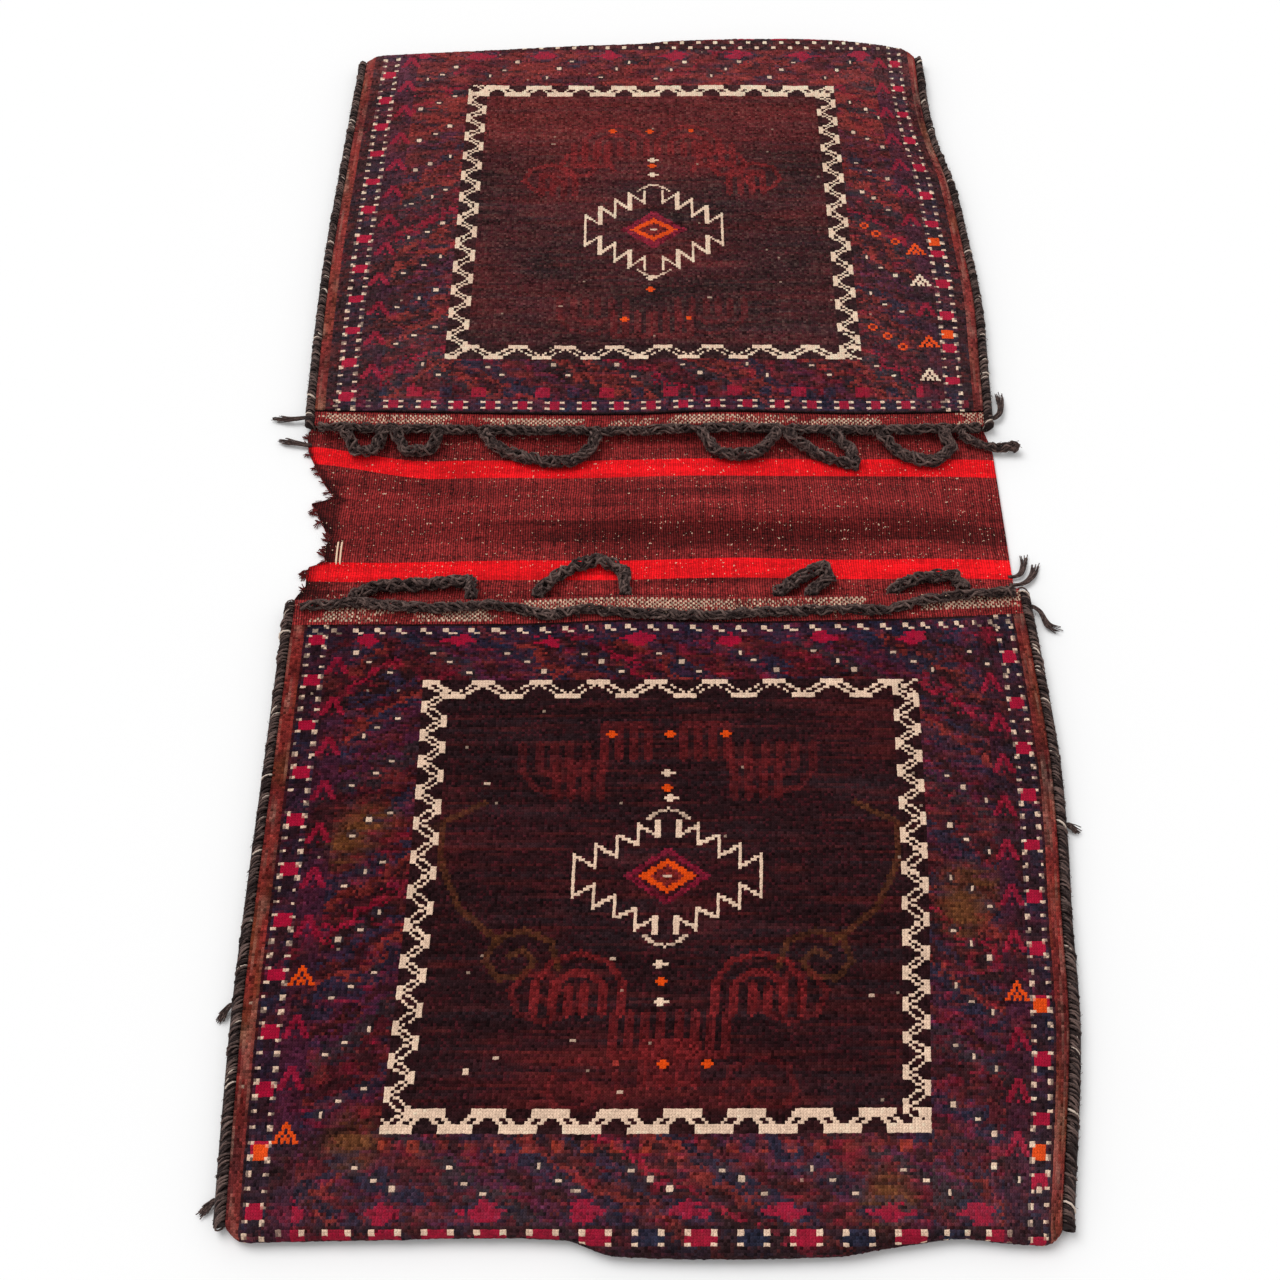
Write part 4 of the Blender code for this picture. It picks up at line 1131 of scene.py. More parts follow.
def face_outwards(mesh):
    """Points every face of a closed mesh outwards."""
    shell = bmesh.new()
    shell.from_mesh(mesh)
    bmesh.ops.recalc_face_normals(shell, faces=shell.faces)
    if shell.calc_volume(signed=True) < 0.0:
        bmesh.ops.reverse_faces(shell, faces=shell.faces)
    shell.to_mesh(mesh)
    shell.free()


def store_dyes(mesh, dyes, rest):
    """Gives each face its own colour: the first faces those listed, and all others the rest."""
    colours = np.empty((len(mesh.polygons), 4))
    colours[:, :3] = rest
    colours[:, 3] = 1.0
    colours[: len(dyes), :3] = dyes
    sizes = np.empty(len(mesh.polygons), dtype=np.int32)
    mesh.polygons.foreach_get("loop_total", sizes)
    attribute = mesh.color_attributes.new(name="dye", type="FLOAT_COLOR", domain="CORNER")
    attribute.data.foreach_set("color", np.repeat(colours, sizes, axis=0).astype(np.float32).ravel())


def store_weave_map(mesh, across, along, count):
    """Keeps a map in threads or knots: the first points as listed, and all others by place."""
    places = np.empty(len(mesh.vertices) * 3, dtype=np.float32)
    mesh.vertices.foreach_get("co", places)
    flat = places.reshape(-1, 3)[:, :2] / KNOT
    flat[:count, 0], flat[:count, 1] = across, along
    corners = np.empty(len(mesh.loops), dtype=np.int32)
    mesh.loops.foreach_get("vertex_index", corners)
    layer = mesh.uv_layers.new(name="weave")
    layer.data.foreach_set("uv", flat[corners].astype(np.float32).ravel())


def lay_sheet(piece, dyes, rest, knots=((), ())):
    store_dyes(piece.data, dyes.reshape(-1, 3), rest)
    store_weave_map(piece.data, *knots, len(knots[0]))
    settle(piece, "woven_panel", finish="woven_wool")
    return piece


def settle(piece, *nodes, finish):
    """Lets a finished piece ride with the bag and stand for its solids, which are hidden."""
    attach(piece, BODY)
    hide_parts(*nodes)
    return piece


def shared(store, maker):
    """A material or a geometry tree that several pieces share, made when it is first asked for."""
    return store.get(maker.__name__) or maker()


class Value:
    """What a node gives: a number or a vector that sums can be written with."""

    def __init__(self, tree, socket):
        self.tree = tree
        self.socket = socket
        self.wide = socket.type in {"VECTOR", "RGBA"}

    def calc(self, operation, *others):
        """One sum that starts with this value."""
        kind = "ShaderNodeVectorMath" if self.wide else "ShaderNodeMath"
        return node(self.tree, kind, dict(enumerate((self, *others))), operation=operation)

    def to(self, socket):
        """Leads to an input of another node."""
        self.tree.links.new(self.socket, socket)

    def __add__(self, other):
        return self.calc("ADD", other)

    def __sub__(self, other):
        return self.calc("SUBTRACT", other)

    def __rsub__(self, other):
        return node(self.tree, "ShaderNodeMath", {0: other, 1: self}, operation="SUBTRACT")

    def __mul__(self, other):
        return scaled(self.tree, self, other) if self.wide else self.calc("MULTIPLY", other)

    def __truediv__(self, other):
        return self.calc("DIVIDE", other)


def add(tree, kind, feed=None, **choices):
    """Adds a node. Its inputs take values of other nodes or plain ones, by name or by number."""
    made = tree.nodes.new(kind)
    for key, value in choices.items():
        setattr(made, key, value)
    for key, value in (feed or {}).items():
        if isinstance(value, Value):
            value.to(made.inputs[key])
        else:
            made.inputs[key].default_value = value
    return made


def node(tree, kind, feed=None, output=0, **choices):
    """Adds a node and returns what one of its outputs gives."""
    return Value(tree, add(tree, kind, feed, **choices).outputs[output])


def scaled(tree, vector, factor):
    """A vector times a number."""
    return node(tree, "ShaderNodeVectorMath", {0: vector, "Scale": factor}, operation="SCALE")


def noise(tree, place, scale, detail=2.0, output=0):
    """Soft noise from 0 to 1, or a random colour from output 1."""
    return node(tree, "ShaderNodeTexNoise", {"Vector": place, "Scale": scale, "Detail": detail}, output)


def blend_colours(tree, factor, first, second):
    """A mix of two colours."""
    return node(tree, "ShaderNodeMix", {0: factor, 6: first, 7: second}, output=2, data_type="RGBA")


def brightened(tree, colour, value):
    """A colour made brighter or darker by a factor."""
    return node(tree, "ShaderNodeHueSaturation", {"Value": value, "Color": colour})


def attribute(tree, name, output):
    """What the piece keeps for each face or point under a name."""
    return node(tree, "ShaderNodeAttribute", output=output, attribute_name=name)


def new_material(name, roughness, sheen):
    """A matte material with its tree, its shader's inputs and the piece's own coordinates."""
    made = bpy.data.materials.new(name)
    made.use_nodes = True
    tree = made.node_tree
    shader = tree.nodes["Principled BSDF"].inputs
    shader["Roughness"].default_value = roughness
    shader["Specular IOR Level"].default_value = MATTE_SPECULAR
    shader["Sheen Weight"].default_value = sheen
    shader["Sheen Roughness"].default_value = SHEEN_ROUGHNESS
    return made, tree, shader, node(tree, "ShaderNodeTexCoord", output="Object")


def stretched(tree, place, scale):
    """The coordinates stretched along the axes."""
    return node(tree, "ShaderNodeMapping", {"Vector": place, "Scale": scale})


def bumped(tree, shader, height, strength, distance):
    """Feeds a height to the shader's normal."""
    feed = {"Strength": strength, "Distance": distance, "Height": height}
    node(tree, "ShaderNodeBump", feed).to(shader["Normal"])


def knot_dome(tree):
    """A low dome on each knot of the weave map, 0 at its edges and 1 in its middle."""
    heights = []
    for axis in (0, 1):
        layer = node(tree, "ShaderNodeUVMap", uv_map="weave")
        within = node(tree, "ShaderNodeSeparateXYZ", {0: layer}, axis).calc("FRACT")
        off = (within - 0.5) * 2.0
        heights.append(1.0 - off * off)
    return heights[0] * heights[1]


def knotted_wool():
    """Knotted wool: dyed knots with fine fibres, and a dome on each knot."""
    made, tree, shader, place = new_material("knotted_wool", 1.0, 0.0)
    fibres = noise(tree, stretched(tree, place, (1.0, 0.45, 1.0)), 1900.0)
    patches = noise(tree, place, 55.0, 3.0)
    tone = fibres * 1.1 + patches * 0.5 + 0.15
    brightened(tree, attribute(tree, "dye", "Color"), tone).to(shader["Base Color"])
    bumped(tree, shader, knot_dome(tree) + fibres, 0.85, 0.001)
    return made


def ridges(value, pitch):
    """Rounded ridges from 0 to 1 that repeat along a length."""
    return (value * (math.pi / pitch)).calc("SINE").calc("ABSOLUTE")


def flat_weave_wool():
    """Flat-woven wool: dyed yarn over the ribs, with short wefts across them, cream specks, painted shade in
    the grooves between ribs and weft rows, and painted highlights on their crests.
    """
    made, tree, shader, place = new_material("flat_weave_wool", 0.9, 0.03)
    weave = settings("weave")
    dye = attribute(tree, "dye", "Color")

    def streaks(scale, detail=1.0):
        return noise(tree, stretched(tree, place, scale), 1.0, detail)

    drift = streaks((30.0, 60.0, 30.0))
    across = node(tree, "ShaderNodeSeparateXYZ", {0: place}, 0) + drift * 0.003
    along = node(tree, "ShaderNodeSeparateXYZ", {0: place}, 1) + drift * 0.01
    ribs, rows = ridges(across, weave.rib_pitch), ridges(along, 0.0016)
    wefts = streaks((160.0, 1300.0, 160.0), 3.0)
    patches = streaks((7.0, 120.0, 7.0), 3.0)
    grain = streaks((430.0, 480.0, 430.0), 2.0)
    warps = streaks((250.0, 9.0, 9.0))
    # rows and ribs paint shade into the grooves between weft rows and between ribs, and highlights onto their
    # crests
    tone = wefts * 0.95 + patches * 1.1 + rows * 0.22 + grain * 3.0 + warps * 1.3 - 2.3
    tone = tone.calc("MAXIMUM", 0.1) * (ribs * 1.46 + 0.04)
    in_red_stripe = node(tree, "ShaderNodeSeparateColor", {"Color": dye}).calc("GREATER_THAN", 0.45)
    tone = (tone - 1.0) * (1.0 - in_red_stripe * 0.55) + 1.0
    specks = streaks((560.0, 420.0, 420.0))
    limit = 0.925 - streaks((13.0, 330.0, 13.0)) * 0.36
    shown = specks.calc("GREATER_THAN", limit) * 0.7
    speckled = blend_colours(tree, shown, brightened(tree, dye, tone), (*weave.cream, 1.0))
    speckled.to(shader["Base Color"])
    bumped(tree, shader, wefts + rows * 0.5, 0.8, 0.0007)
    return made


def goat_hair_yarn():
    """Coarse goat hair: each yarn has a tone of its own, dark, greyer or now and then cream."""
    hair = settings("hair")
    made, tree, shader, place = new_material("goat_hair_yarn", 0.8, 0.05)
    tone = attribute(tree, "tone", "Fac")
    grain = noise(tree, place, 900.0, 3.0)
    grey = (tone + grain) * 1.2 - 0.95
    ground = blend_colours(tree, grey, (*hair.dark, 1.0), (*hair.light, 1.0))
    bare = tone.calc("GREATER_THAN", 1.5)
    blend_colours(tree, bare, ground, (*hair.cream, 1.0)).to(shader["Base Color"])
    bumped(tree, shader, grain, 0.5, 0.0004)
    return made


def frayed_wool():
    """Dark red brown wool of the torn edge, each fibre with a tone of its own."""
    made, tree, shader, _ = new_material("frayed_wool", 0.9, 0.03)
    dark, maroon = settings("hair").dark, settings("weave").maroon
    mixed = blend_colours(tree, attribute(tree, "tone", "Fac"), (*dark, 1.0), (*maroon, 1.0))
    mixed.to(shader["Base Color"])
    return made


def bare_warp():
    """Undyed yarn of the foundation where the weft is gone."""
    made, _, shader, _ = new_material("bare_warp", 0.9, 0.03)
    shader["Base Color"].default_value = (*settings("weave").cream, 1.0)
    return made


def knotted_face(pocket):
    """The knotted face of one pocket, from the mouth's strip round the fold to the ground."""
    rng = np.random.default_rng(7)
    rows, relief = knot_rows(pocket), settings("pile").relief
    row, column = np.arange(rows + 1)[:, None], np.arange(COLUMNS + 1)[None, :]
    lift = rng.normal(0.0, relief, (rows + 1, COLUMNS + 1))
    lift += relief * np.sin(row * math.pi) + relief * cloud(lift.shape, (6, 6), rng)
    outer = knot_place(pocket, row, column, lift)
    inside = (slice(1, -1), slice(1, -1))
    outer[..., :2][inside] += rng.normal(0.0, KNOT_WANDER, outer[..., :2][inside].shape)
    flat_rows = np.arange(0, rows - FOLD_ROWS, UNDER_ROWS)
    fold_rows = np.arange(rows - FOLD_ROWS, rows, UNDER_FOLD_ROWS)
    coarse_rows = np.unique(np.r_[flat_rows, fold_rows, rows])
    coarse_columns = np.unique(np.r_[np.arange(0, COLUMNS, UNDER_COLUMNS), COLUMNS])
    cloth = Cloth()
    upper = cloth.grid(outer)
    lower = cloth.grid(knot_place(pocket, coarse_rows[:, None], coarse_columns[None, :], -PILE_THICKNESS))
    cloth.rim(upper, lower)
    piece = cloth.build(f"knotted_face_{pocket['name']}", knotted_wool)
    knots = [numbers.ravel() for numbers in np.broadcast_arrays(column, row)]
    dyes, rest = Pattern(pocket).tie(), settings("pile").field
    return lay_sheet(piece, dyes, rest, knots)


def bridge_lines(share):
    """The left and right edges of the bridge at shares of the way from the far to the near lip."""
    return -HALF_WIDTH - straight(TORN_EDGE, share), HALF_WIDTH + straight(SOUND_EDGE, share)


def hump(x, y):
    """How far the bridge rises off the ground: one soft fold, steeper on its near side."""
    reach = np.where(y < HUMP_CREST, HUMP_NEAR_REACH, HUMP_FAR_REACH)
    along = np.exp(-(((y - HUMP_CREST) / reach) ** 2))
    across = smooth((x + 0.25) / 0.14) * smooth((0.3 - x) / 0.06)
    ripple = 0.0009 * np.sin(38.0 * x + 30.0 * y) * np.exp(-((y / 0.06) ** 2))
    crest = settings("weave").hump * along * across * (0.8 + 0.3 * np.sin(11.0 * x + 0.6))
    return np.maximum(crest + ripple * across, 0.0)


def bend(x, y):
    """How far the rows of the bridge bend away from straight lines."""
    calm = smooth((0.104 - y) / 0.032) * smooth((y + 0.086) / 0.032)
    pulled = 0.018 * smooth((-0.19 - x) / 0.11) * smooth((y + 0.01) / 0.06)
    return calm * (0.0018 * np.sin(9.0 * x + 0.6) + 0.0008 * np.sin(31.0 * x) + pulled)


def rib_relief(x, along):
    """The ribs of the flat weave, which run along the strip and wander a little."""
    weave = settings("weave")
    phase = x / weave.rib_pitch + 0.12 * np.sin(along * 90.0 + x * 40.0)
    return weave.rib_height * (np.abs(np.sin(math.pi * phase)) - 0.75)


def stripe_rows():
    """The places of the bridge's rows across the strip, with both red stripes' edges among them."""
    stops = (
        FAR_POCKET["lip"], FAR_STRIPE + STRIPE_WIDTH, FAR_STRIPE, -NEAR_STRIPE, -NEAR_STRIPE - STRIPE_WIDTH,
        -NEAR_POCKET["lip"],
    )
    rows, red = [stops[0]], []
    for index, (start, end) in enumerate(zip(stops, stops[1:])):
        count = max(3, int(round((start - end) / BRIDGE_ROW)))
        rows += list(np.linspace(start, end, count + 1)[1:])
        red += [index in (1, 3)] * count
    return np.array(rows), np.array(red)


def stripe_dyes(x, y, red, rng):
    """The colour of the flat weave: maroon ground, two red stripes, abrash, painted shade on the near slope
    of the soft fold, and darker cloth along the torn edge and its flaps.
    """
    weave = settings("weave")
    ground = np.array(weave.maroon) * np.ones(x.shape + (1,))
    colours = np.where(red[:, None, None], np.array(weave.red), ground)
    # fold: where painted shade falls, on the near slope of the bridge's soft fold, which faces away from the
    # lamp
    fold = smooth((x + 0.16) / 0.1) * np.exp(-(((y + 0.01) / 0.013) ** 2))
    shade = 1.0 + 0.2 * cloud(x.shape, (1.1, 60), rng) + 0.1 * cloud(x.shape, (5, 90), rng)
    # Abrash in the maroon rows, less the painted shade on the fold's near slope
    shade += np.where(red[:, None], 0.0, 0.3 * cloud(x.shape, (1.4, 120), rng) - 0.62 * fold)
    edge, _ = bridge_lines((FAR_POCKET["lip"] - y) / (FAR_POCKET["lip"] + NEAR_POCKET["lip"]))
    uneven = 0.003 * cloud(x.shape, (2, 6), rng)
    torn = 0.3 + 0.7 * smooth((x - edge + uneven) / 0.01)
    flap = np.where(red[:, None], 1.0, 0.35 + 0.65 * smooth((x + 0.276 + 2.0 * uneven) / 0.014))
    flap = np.where(y > FAR_STRIPE, 1.0, flap)
    return colours * (np.clip(shade, 0.4, 1.6) * torn * flap)[..., None]


def kilim_strip():
    """The flat-woven back of both pockets and the striped bridge between them."""
    rng = np.random.default_rng(11)
    fine = np.linspace(-1.0, 1.0, 3 * int(2.0 * HALF_WIDTH / settings("weave").rib_pitch) + 1)
    coarse = np.linspace(-1.0, 1.0, 41)
    reach = FAR_POCKET["lip"] + NEAR_POCKET["lip"]
    rows, red = stripe_rows()

    def bridge(s, y, top):
        y = y + bend(s * HALF_WIDTH, y)
        left, right = bridge_lines((FAR_POCKET["lip"] - y) / reach)
        x = left + (right - left) * (s + 1.0) / 2.0
        height = hump(x, y) + (BACK_THICKNESS + rib_relief(x, y) if top else 0.0)
        return np.stack((x, y, np.broadcast_to(height, x.shape)), axis=-1)

    cloth = Cloth()
    visible = cloth.grid(bridge(fine[None, :], rows[:, None], True))
    middles = bridge((fine[None, 1:] + fine[None, :-1]) / 2.0, (rows[1:, None] + rows[:-1, None]) / 2.0, True)
    backs = {}
    stations = np.linspace(0.012, 1.0, 26)[:, None]
    for pocket in POCKETS:
        for height in (BACK_THICKNESS - CLEARANCE, 0.0):
            backs[pocket["name"], height] = cloth.grid(face_place(pocket, coarse[None, :], stations, height))
    under = cloth.grid(bridge(coarse[None, :], rows[:, None], False))
    top = BACK_THICKNESS - CLEARANCE
    for grid, height in ((visible, top), (under, 0.0)):
        cloth.stitch(grid[0], backs["far", height][0])
        cloth.stitch(grid[-1], backs["near", height][0])
    for name in ("far", "near"):
        cloth.stitch(backs[name, top][-1], backs[name, 0.0][-1])
    for end in (0, -1):
        upper = np.r_[backs["far", top][::-1, end], visible[:, end], backs["near", top][:, end]]
        lower = np.r_[backs["far", 0.0][::-1, end], under[:, end], backs["near", 0.0][:, end]]
        cloth.stitch(upper, lower)
    piece = cloth.build("kilim_strip", flat_weave_wool)
    dyes = stripe_dyes(middles[..., 0], middles[..., 1], red, rng)
    return lay_sheet(piece, dyes, settings("weave").maroon)


# Stretches of brocade on the mouths' strips: from X, to X, from row, to row
BROCADE = {
    "far": (
        (-0.287, -0.176, 1, 6), (-0.15, -0.066, 1, 5), (-0.038, 0.007, 1, 5),
        (0.021, 0.127, 1, 6), (0.135, 0.205, 1, 5), (0.274, 0.301, 0, 8),
    ),
    "near": (
        (-0.272, -0.222, 4, 11), (-0.197, -0.13, 4, 11), (-0.103, 0.177, 1, 9),
        (0.222, 0.3, 1, 9),
    ),
}


def brocade_dyes(pocket, x, rows, rng):
    """Maroon ground with stretches of worn cream brocade on pink, cell by cell."""
    weave = settings("weave")
    colours = np.empty(x.shape + (3,))
    colours[:] = weave.maroon
    colours *= (1.0 + 0.25 * cloud(x.shape, (1.5, 40), rng))[..., None]
    rib = np.floor(x / weave.rib_pitch).astype(int)
    worn = rng.random(x.shape) + 0.45 * cloud(x.shape, (3, 40), rng)
    for start, end, low, high in BROCADE[pocket["name"]]:
        frayed = 0.012 * cloud(x.shape, (2, 30), rng)
        inside = (x > start + frayed) & (x < end + frayed) & between(rows, low, high)
        cream = inside & (np.mod(rib + rows, 2) == 0) & (worn > 0.26)
        colours[inside] = np.array(weave.pink) * (1.0 + 0.3 * cloud(x.shape, (2, 12), rng))[inside][:, None]
        colours[cream] = np.array(weave.cream) * rng.uniform(0.35, 0.85, x.shape)[cream][:, None]
    return colours


def mouth_strip(pocket):
    """The flat-woven strip along a pocket's mouth, with stretches of brocade."""
    rng = np.random.default_rng(17)
    count = 3 * int(2.0 * HALF_WIDTH / settings("weave").rib_pitch)
    fine, coarse = np.linspace(-1.0, 1.0, count + 1)[None, :], np.linspace(-1.0, 1.0, 61)[None, :]
    depth = pocket["mouth_strip"] + STRIP_TUCK
    rows = int(round(depth / STRIP_ROW))
    along = np.linspace(0.0, depth, rows + 1)[:, None]

    def strip(s, out, height, relief):
        t = out / (turn_distance(pocket, s) - lip_distance(pocket, s))
        place = face_place(pocket, s, t, BACK_THICKNESS + room(s, t) + height + swell(pocket, s, t))
        place[..., 2] += relief * (rib_relief(place[..., 0], place[..., 1]) + 0.0002)
        return place

    cloth = Cloth()
    upper = cloth.grid(strip(fine, along, STRIP_THICKNESS, 1.0))
    lower = cloth.grid(strip(coarse, along[[0, rows // 2, -1]], CLEARANCE, 0.0))
    cloth.rim(upper, lower)
    piece = cloth.build(f"mouth_strip_{pocket['name']}", flat_weave_wool)
    middle = np.concatenate(cloth.places)[: upper.size].reshape(upper.shape + (3,))
    x = (middle[1:, 1:, 0] + middle[:-1, :-1, 0]) / 2.0
    cell = np.broadcast_to(np.arange(rows)[:, None], x.shape)
    return lay_sheet(piece, brocade_dyes(pocket, x, cell, rng), settings("weave").maroon)


def path_object(name, lines):
    """An edge along each line, for a geometry tree to grow on."""
    points, edges = [], []
    for line in lines:
        start = len(points)
        points += [tuple(point) for point in line]
        edges += [(start + step, start + step + 1) for step in range(len(line) - 1)]
    mesh = bpy.data.meshes.new(name + "_path")
    mesh.from_pydata(points, edges, [])
    return add_object(name + "_path", mesh)


def new_tree(name, sizes):
    """An empty geometry tree with named sizes, and what its inputs give by name."""
    tree = bpy.data.node_groups.new(name, "GeometryNodeTree")
    sockets = {"Geometry": "Geometry", **sizes, "Material": "Material"}
    for label, kind in sockets.items():
        tree.interface.new_socket(label, in_out="INPUT", socket_type="NodeSocket" + kind)
    tree.interface.new_socket("Geometry", in_out="OUTPUT", socket_type="NodeSocketGeometry")
    outputs = add(tree, "NodeGroupInput").outputs
    return tree, {label: Value(tree, outputs[label]) for label in sockets}


def close_tree(tree, given, parts):
    """Joins the parts and ends the tree with plain geometry in its material."""
    joined = add(tree, "GeometryNodeJoinGeometry")
    for part in parts:
        part.to(joined.inputs[0])
    real = node(tree, "GeometryNodeRealizeInstances", {0: Value(tree, joined.outputs[0])})
    round_off = node(tree, "GeometryNodeSetShadeSmooth", {"Geometry": real})
    painted = node(tree, "GeometryNodeSetMaterial", {"Geometry": round_off, "Material": given["Material"]})
    add(tree, "NodeGroupOutput", {0: painted})
    return tree


def grow(name, maker, lines, sizes, finish):
    """Grows a tree on lines and returns the result as a plain mesh object."""
    tree = shared(bpy.data.node_groups, maker)
    source = path_object(name, lines)
    modifier = source.modifiers.new(name, "NODES")
    modifier.node_group = tree
    values = dict(sizes, Material=shared(bpy.data.materials, finish))
    for item in tree.interface.items_tree:
        if item.in_out == "INPUT" and item.name in values:
            modifier[item.identifier] = values[item.name]
    evaluated = source.evaluated_get(bpy.context.evaluated_depsgraph_get())
    mesh = bpy.data.meshes.new_from_object(evaluated)
    mesh.name = name
    bpy.data.objects.remove(source, do_unlink=True)
    if len(mesh.polygons) == 0:
        raise RuntimeError(name + " has no faces")
    return add_object(name, mesh)


def path_curve(tree, given):
    """The path as a curve whose normals lie level."""
    curve = node(tree, "GeometryNodeMeshToCurve", {"Mesh": given["Geometry"]})
    return node(tree, "GeometryNodeSetCurveNormal", {"Curve": curve}, mode="Z_UP")


def resampled(tree, curve, step):
    """The curve with a point at every step."""
    return node(tree, "GeometryNodeResampleCurve", {"Curve": curve, "Length": step}, mode="LENGTH")


def ring(tree, radius, sides):
    """A round outline."""
    feed = {"Resolution": sides, "Radius": radius}
    return node(tree, "GeometryNodeCurvePrimitiveCircle", feed, mode="RADIUS")


def oval(tree, outline, size, turn=0.0):
    """An outline stretched to a size (X, Y) and turned about X."""
    scale = node(tree, "ShaderNodeCombineXYZ", {0: size[0], 1: size[1], 2: 1.0})
    feed = {"Geometry": outline, "Rotation": (turn, 0.0, 0.0), "Scale": scale}
    return node(tree, "GeometryNodeTransform", feed)


def tube(tree, curve, outline):
    """An outline swept along a curve, closed at its ends."""
    feed = {"Curve": curve, "Profile Curve": outline, "Fill Caps": True}
    return node(tree, "GeometryNodeCurveToMesh", feed)


def copies(tree, curve, count):
    """Copies of a curve, all in one place, and the number of each."""
    made = add(tree, "GeometryNodeDuplicateElements", {0: curve, "Amount": count}, domain="SPLINE")
    return Value(tree, made.outputs[0]), Value(tree, made.outputs["Duplicate Index"])


def shaped(tree, curve, offset, radius):
    """The curve with each point moved by an offset and given a thickness of its own."""
    moved = node(tree, "GeometryNodeSetPosition", {"Geometry": curve, "Offset": offset})
    return node(tree, "GeometryNodeSetCurveRadius", {"Curve": moved, "Radius": radius})


def chance(tree, low, high, seed, number=None):
    """A random number or vector between limits for each element, or for each number given."""
    wide = isinstance(low, tuple)
    feed = {0 if wide else 2: low, 1 if wide else 3: high, "Seed": seed}
    if number is not None:
        feed["ID"] = number
    kind = "FLOAT_VECTOR" if wide else "FLOAT"
    return node(tree, "FunctionNodeRandomValue", feed, 0 if wide else 1, data_type=kind)


def turned(tree, rotation, turn):
    """A rotation turned further in its own frame."""
    feed = {"Rotation": rotation, "Rotate By": turn}
    return node(tree, "FunctionNodeRotateRotation", feed, rotation_space="LOCAL")


def placed(tree, points, shape, rotation, size):
    """A shape on every point."""
    feed = {"Points": points, "Instance": shape, "Rotation": rotation, "Scale": size}
    return node(tree, "GeometryNodeInstanceOnPoints", feed)


def toned(tree, geometry, tone, domain):
    """Keeps the tone of each yarn for its material."""
    feed = {"Geometry": geometry, "Name": "tone", "Value": tone}
    return node(tree, "GeometryNodeStoreNamedAttribute", feed, data_type="FLOAT", domain=domain)


def loose_hairs(tree, surface, density, length, seed):
    """Short curved hairs that stand off a surface."""
    feed = {"Mesh": surface, "Density": density, "Seed": seed}
    roots = add(tree, "GeometryNodeDistributePointsOnFaces", feed).outputs
    bow = {"Resolution": 3, "Start": (0.0, 0.0, 0.0), "Middle": (0.3, 0.0, 0.42), "End": (1.0, 0.1, 0.34)}
    hair = tube(tree, node(tree, "GeometryNodeCurveQuadraticBezier", bow), ring(tree, 0.06, 3))
    spin = chance(tree, (-0.3, -0.2, 0.0), (0.3, 0.3, 6.28), seed)
    spin = turned(tree, Value(tree, roots["Rotation"]), spin)
    size = length * chance(tree, 0.35, 1.0, seed)
    hairs = placed(tree, Value(tree, roots[0]), hair, spin, size)
    return toned(tree, hairs, chance(tree, 0.0, 1.0, seed), "INSTANCE")


def overcast_tree():
    """Slanting wraps of yarn over a core along an edge, with loose hairs."""
    tree, given = new_tree("overcast_tree", {
        "Pitch": "Float", "Half Width": "Float", "Half Height": "Float", "Yarn": "Float",
        "Slant": "Float", "Hair": "Float", "Seed": "Int",
    })
    curve, seed = path_curve(tree, given), given["Seed"]
    wide, tall = given["Half Width"], given["Half Height"]
    feed = {"Curve": curve, "Length": given["Pitch"]}
    stations = add(tree, "GeometryNodeCurveToPoints", feed, mode="LENGTH").outputs
    wrap = oval(tree, ring(tree, 1.0, 10), (wide, tall), math.radians(90.0))
    wrap = tube(tree, wrap, ring(tree, given["Yarn"], 4))
    feed = {"Vector": Value(tree, stations["Tangent"])}
    across = node(tree, "FunctionNodeAlignRotationToVector", feed, axis="Y")
    lean = chance(tree, (-0.26, -0.1, -0.3), (0.26, 0.1, 0.3), seed)
    lean = lean + node(tree, "ShaderNodeCombineXYZ", {2: given["Slant"]})
    number = node(tree, "GeometryNodeInputIndex")
    bundle = (number * (2.0 * math.pi / 3.0)).calc("COSINE") * 0.07
    size = bundle + chance(tree, 0.88, 1.1, seed)
    wraps = placed(tree, Value(tree, stations[0]), wrap, turned(tree, across, lean), size)
    tone = chance(tree, 0.0, 1.0, seed + 5.0)
    cream = tone.calc("GREATER_THAN", 0.962) * 2.0
    wraps = toned(tree, wraps, tone + cream, "INSTANCE")
    core = tube(tree, resampled(tree, curve, 0.006), oval(tree, ring(tree, 0.88, 10), (tall, wide)))
    hairs = loose_hairs(tree, core, 32000.0, given["Hair"], seed)
    return close_tree(tree, given, (core, wraps, hairs))


